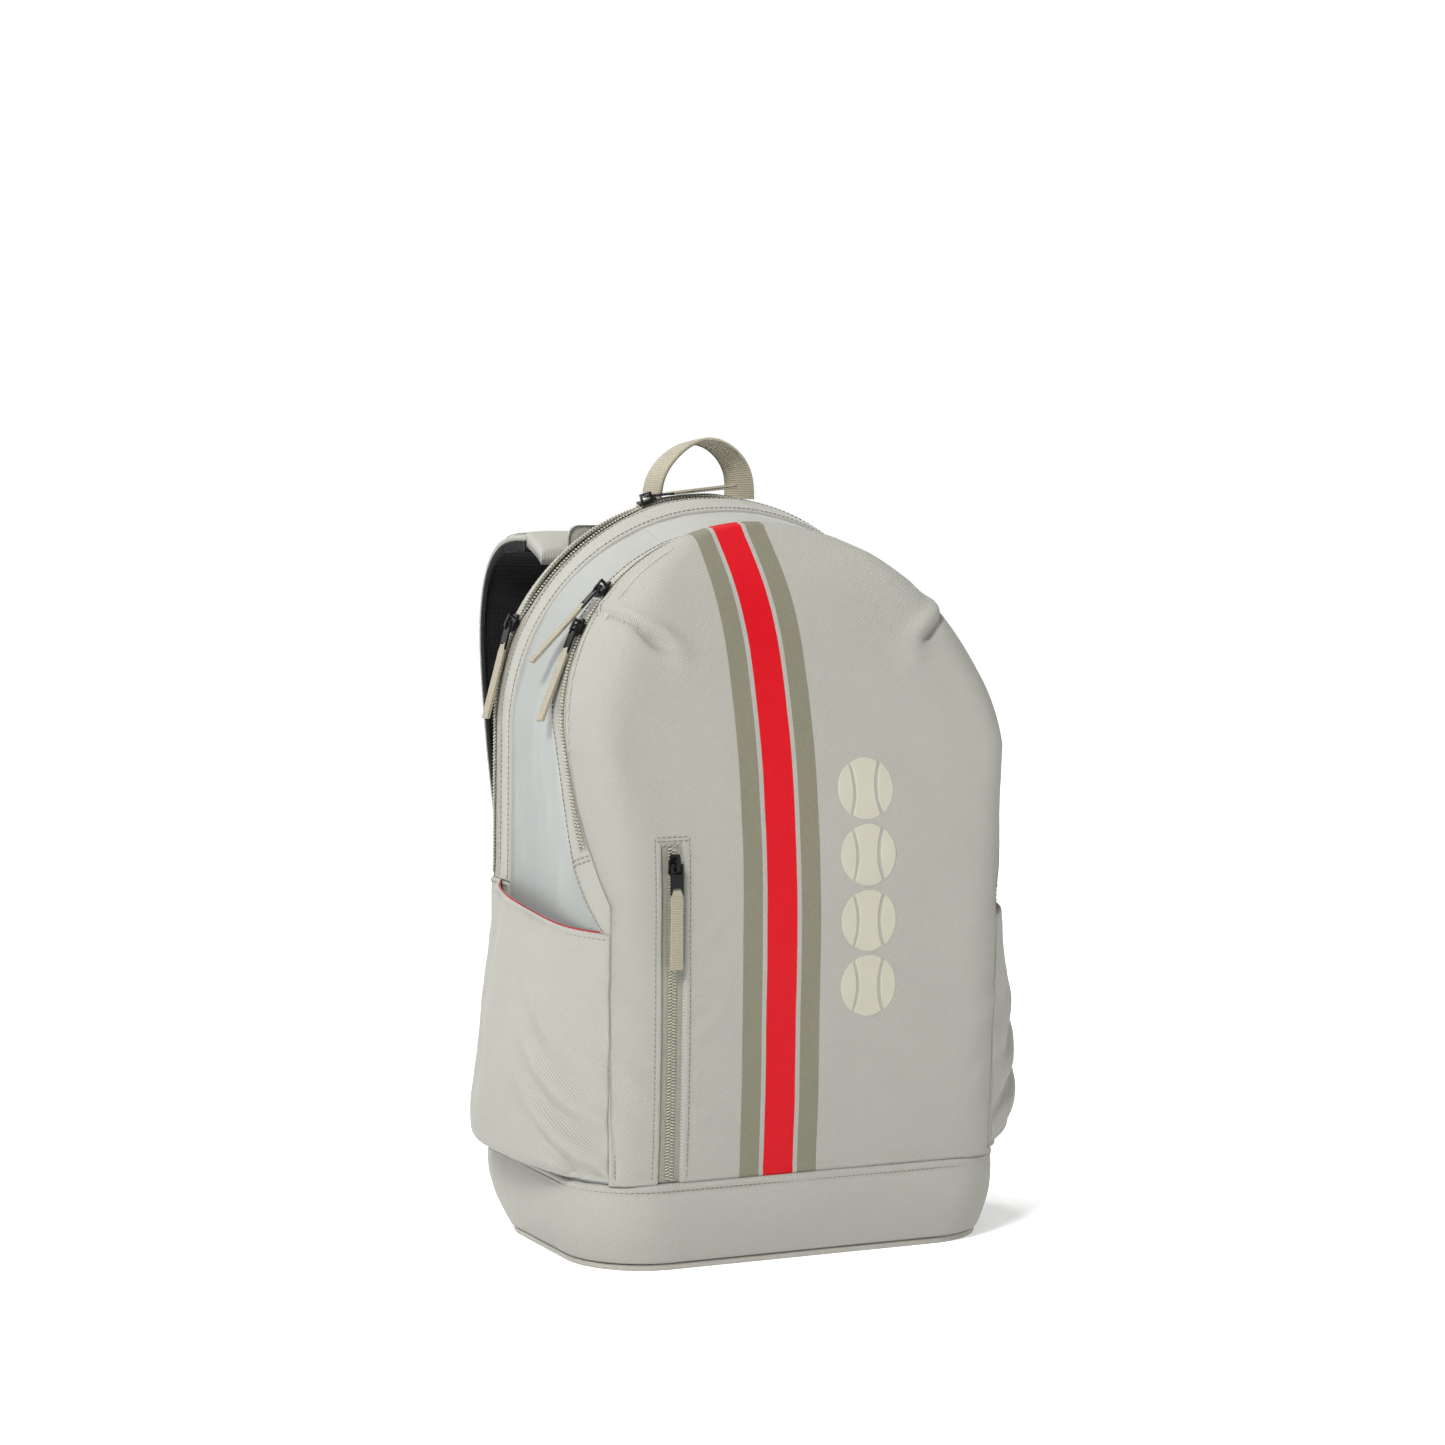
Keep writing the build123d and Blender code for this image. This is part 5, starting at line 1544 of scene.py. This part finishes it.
# ---- Seams -------------------------------------------------------------------------------------------------
def front_rim_line(inset, low, high, side):
    """A line on the front cloth that keeps an even distance from its edge, from one height to another."""
    sigma = np.linspace(low, high, 300)
    turn = np.clip(sigma, 0, ARC) / RIM_R
    drop = np.maximum(sigma - ARC, 0)
    z_leg = RIM_Z - drop * RIM_COS
    edge = np.clip((front_half(z_leg) - (RIM_R - CORNER)) / CORNER, 0, 1)
    leg_x = (RIM_R - CORNER) + CORNER * np.sin(np.arcsin(edge) - inset / CORNER)
    inward = CORNER * (1 - np.cos(inset / CORNER))
    arc_x = (RIM_R - inward) * np.sin(turn)
    arc_z = RIM_Z + (RIM_R - inward) * np.cos(turn) * RIM_COS
    x = np.where(sigma < ARC, arc_x, leg_x) * side
    z = np.where(sigma < ARC, arc_z, z_leg)
    return x, z


def front_seam(x, z, near):
    """Points and normals of a seam on the front cloth, following its folds."""
    flat = front(x, z, 0.0)
    height = front_lift(None, None, flat, np.full(x.shape, near)) + 0.12
    return front(x, z, height), front(x, z, 1.0) - flat


def make_front_seams():
    low_end = ARC + (RIM_Z - BOOT_Z - 4) / RIM_COS
    fold = ARC + (RIM_Z - FOLD_Z) / RIM_COS
    flap, lower = [], []
    for side in (-1, 1):
        for start, stop, group in ((0, fold, flap), (fold, low_end, lower)):
            x, z = front_rim_line(4.6, start, stop, side)
            group.append(front_seam(x, z, 4.6))
    run = DART_END - DART_START
    for mirror in (-1, 1):
        t = np.linspace(0.12, 0.72, 40)
        x = (DART_START[0] + run[0] * t) * -mirror
        z = DART_START[1] + run[1] * t + 0.6
        flap.append(front_seam(x, z, 20.0))
    for off in (-11.6, 11.6):
        z = np.linspace(BOOT_Z + 3, WELT_HIGH + 4, 200)
        lower.append(front_seam(WELT_X + off + 0 * z, z, 20.0))
    x = np.linspace(WELT_X - 11, WELT_X + 11, 20)
    for z in (WELT_HIGH + 4.2, WELT_HIGH + 1.8):
        level = np.full(x.shape, z)
        lower.append(front_seam(x, level, 20.0))
    for label, lines in (("flap", flap), ("lower", lower)):
        bend_at_fold(finish_piece(sew(f"front_stitches_{label}", lines), None, "shell_twill", MAT["thread"]))


def make_side_seams():
    lines = []
    reach = np.linspace(-STRIP_END + 3, STRIP_END - 3, 500)
    lines.append(frames_along(rim_skin, reach, strip_rear(reach) - 1.8, -0.1))
    for side in (-1, 1):
        for sigma in (CHAIN_STOP + 5.5, CHAIN_STOP + 8.5):
            depth = np.linspace(TAPE_FRONT + 2, TAPE_REAR - 2, 14)
            lines.append(frames_along(rim_skin, np.full(depth.shape, side * sigma), depth, 0.0))
    way = np.linspace(-LEG_S + 2, LEG_S - 2, 500)
    lines.append(frames_along(skin, way, BAND_Y + 1.6, 0.75))
    lines.append(frames_along(skin, way, SIDE_END_Y - 2.2, 0.6))
    lines.append(frames_along(skin, way, BACK_TAPE_Y + 2.0, 0.65))
    for side in (-1, 1):
        y = np.linspace(BAND_Y + 1, BACK_Y - 3, 30)
        lines.append(frames_along(skin, np.full(y.shape, side * (LEG_S + 2.4)), y, 0.75))
    finish_piece(sew("side_stitches", lines), "pack", "side_cloth", MAT["thread"])


def make_pocket_seams():
    q = np.linspace(0.02, 0.98, 120)
    hem = 3.3
    part = 1 - hem / (pocket_top(q) - POCKET_LOW)
    flat = pocket_place(q, part, 0 * q)
    points = pocket_place(q, part, pocket_lift(q, part, flat, np.full(q.shape, hem)) + 0.12)
    out = pocket_place(q, part, np.ones_like(q)) - flat
    flip = np.array([-1.0, 1, 1])
    both = [(points, out), (points * flip, out * flip)]
    finish_piece(sew("pocket_stitches", both), "pack", "shell_twill", MAT["thread"])


def make_boot_seam():
    line = frames_along(boot_place, np.linspace(0, 7.999, 900), BOOT_Z - 4.2, 0.25)
    finish_piece(sew("boot_stitches", [line]), "pack", "shell_twill", MAT["thread"])


def make_yoke_seams():
    inset = 3.0
    a, b = 1 - inset / YOKE_HALF_W, 1 - inset / YOKE_HALF_H
    edges = [frames_along(YOKE_PLACE, np.linspace(-a, a, 90), level, 3.9) for level in (b, -b)]
    finish_piece(sew("yoke_stitches", edges), "pack", "shell_twill", MAT["thread"])


make_front_seams()
make_side_seams()
make_pocket_seams()
make_boot_seam()
make_yoke_seams()


# ---- Printed motif -----------------------------------------------------------------------------------------
MOTIF_X, MOTIF_LOW, MOTIF_HIGH = 37.5, 151.0, 316.0


def make_motif():
    """Four plain ball shapes, one above another, each with two curved seams."""
    count = 4
    pitch = (MOTIF_HIGH - MOTIF_LOW) / count
    radius = pitch / 2 - 1.0
    seam, half_gap = 7.5, 0.9
    for k in range(count):
        centre = MOTIF_LOW + pitch * (k + 0.5)

        def bounds_at(t, part):
            edge = radius * np.sqrt(np.maximum(1 - t ** 2, 0))
            inner = np.minimum(seam + 5.0 * t ** 2, edge)
            if part == 0:
                return -(inner - half_gap), inner - half_gap
            low = np.minimum(inner + half_gap, edge)
            return (low, edge) if part > 0 else (-edge, -low)
        for part, label in ((-1, "left"), (0, "middle"), (1, "right")):
            limit = 0.985 if part == 0 else 0.80

            def place(t, w, h, part=part, centre=centre):
                low, high = bounds_at(t, part)
                x = MOTIF_X + (low + high) / 2 + (high - low) / 2 * w
                return front(x, centre + radius * t, h)

            def lift(t, w, flat, near):
                return front_waves(flat) + 0.32
            t = limit * np.sin(np.linspace(-pi / 2, pi / 2, 44))
            piece = sheet_mesh(f"motif_{k}_{label}", place, t, np.linspace(-1, 1, 14), lift, thick=0.5,
                               roll=0.15)
            bend_at_fold(finish_piece(piece, None, "shell_twill", MAT["print"]))


make_motif()


# ---- Frame nodes that stay, with finished materials --------------------------------------------------------
KEPT = {
    "metal": [node for name in SLIDERS for node in (name, name.replace("slider", "link"))],
    "plastic": ["ladder_lock_left", "ladder_lock_right"],
    "lining": ["organiser_pocket"],
    "inside": ["pocket_divider", "laptop_sleeve", "welt_pocket_bag"],
    "board": ["base_board", "back_foam", "base_panel"],
    "smooth": ["base_piping", "front_flap_binding"],
}


def object_weave(name, colour, period, contrast):
    """A plain weave that follows the object's own coordinates, for frame nodes without a cloth map."""
    shader = Shader(name, rough=0.8, sheen=0.2, specular=0.3)
    split = shader.node("ShaderNodeSeparateXYZ")
    shader.links.new(shader.place(), split.inputs[0])
    across = shader.math("ADD", split.outputs[0], split.outputs[1])
    height = shader.math("MULTIPLY", shader.wave(across, period), shader.wave(split.outputs[2], period))
    broad = shader.clouds(shader.place(), 25.0)
    base = shader.mix(height, linear(shade(colour, 1 - contrast)), linear(shade(colour, 1 + contrast)))
    shader.colour(shader.mix(shader.math("MULTIPLY", broad, 0.3), base, linear(shade(colour, 0.85))))
    shader.relief(height, 0.00015, 0.7)
    return shader.material


NODE_MAT = {
    "metal": MAT["metal"],
    "plastic": MAT["plastic"],
    "lining": object_weave("node_red_lining", LINING_RED, 0.0009, 0.07),
    "inside": object_weave("node_dark_lining", LINING_DARK, 0.0009, 0.08),
    "board": object_weave("node_stiffener", STIFFENER, 0.002, 0.12),
    "smooth": object_weave("node_stone", (196, 193, 183), 0.0009, 0.05),
}
for material_name, node_names in KEPT.items():
    for node_name in node_names:
        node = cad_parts[node_name]
        for index in range(len(node.material_slots)):
            node.material_slots[index].material = NODE_MAT[material_name]
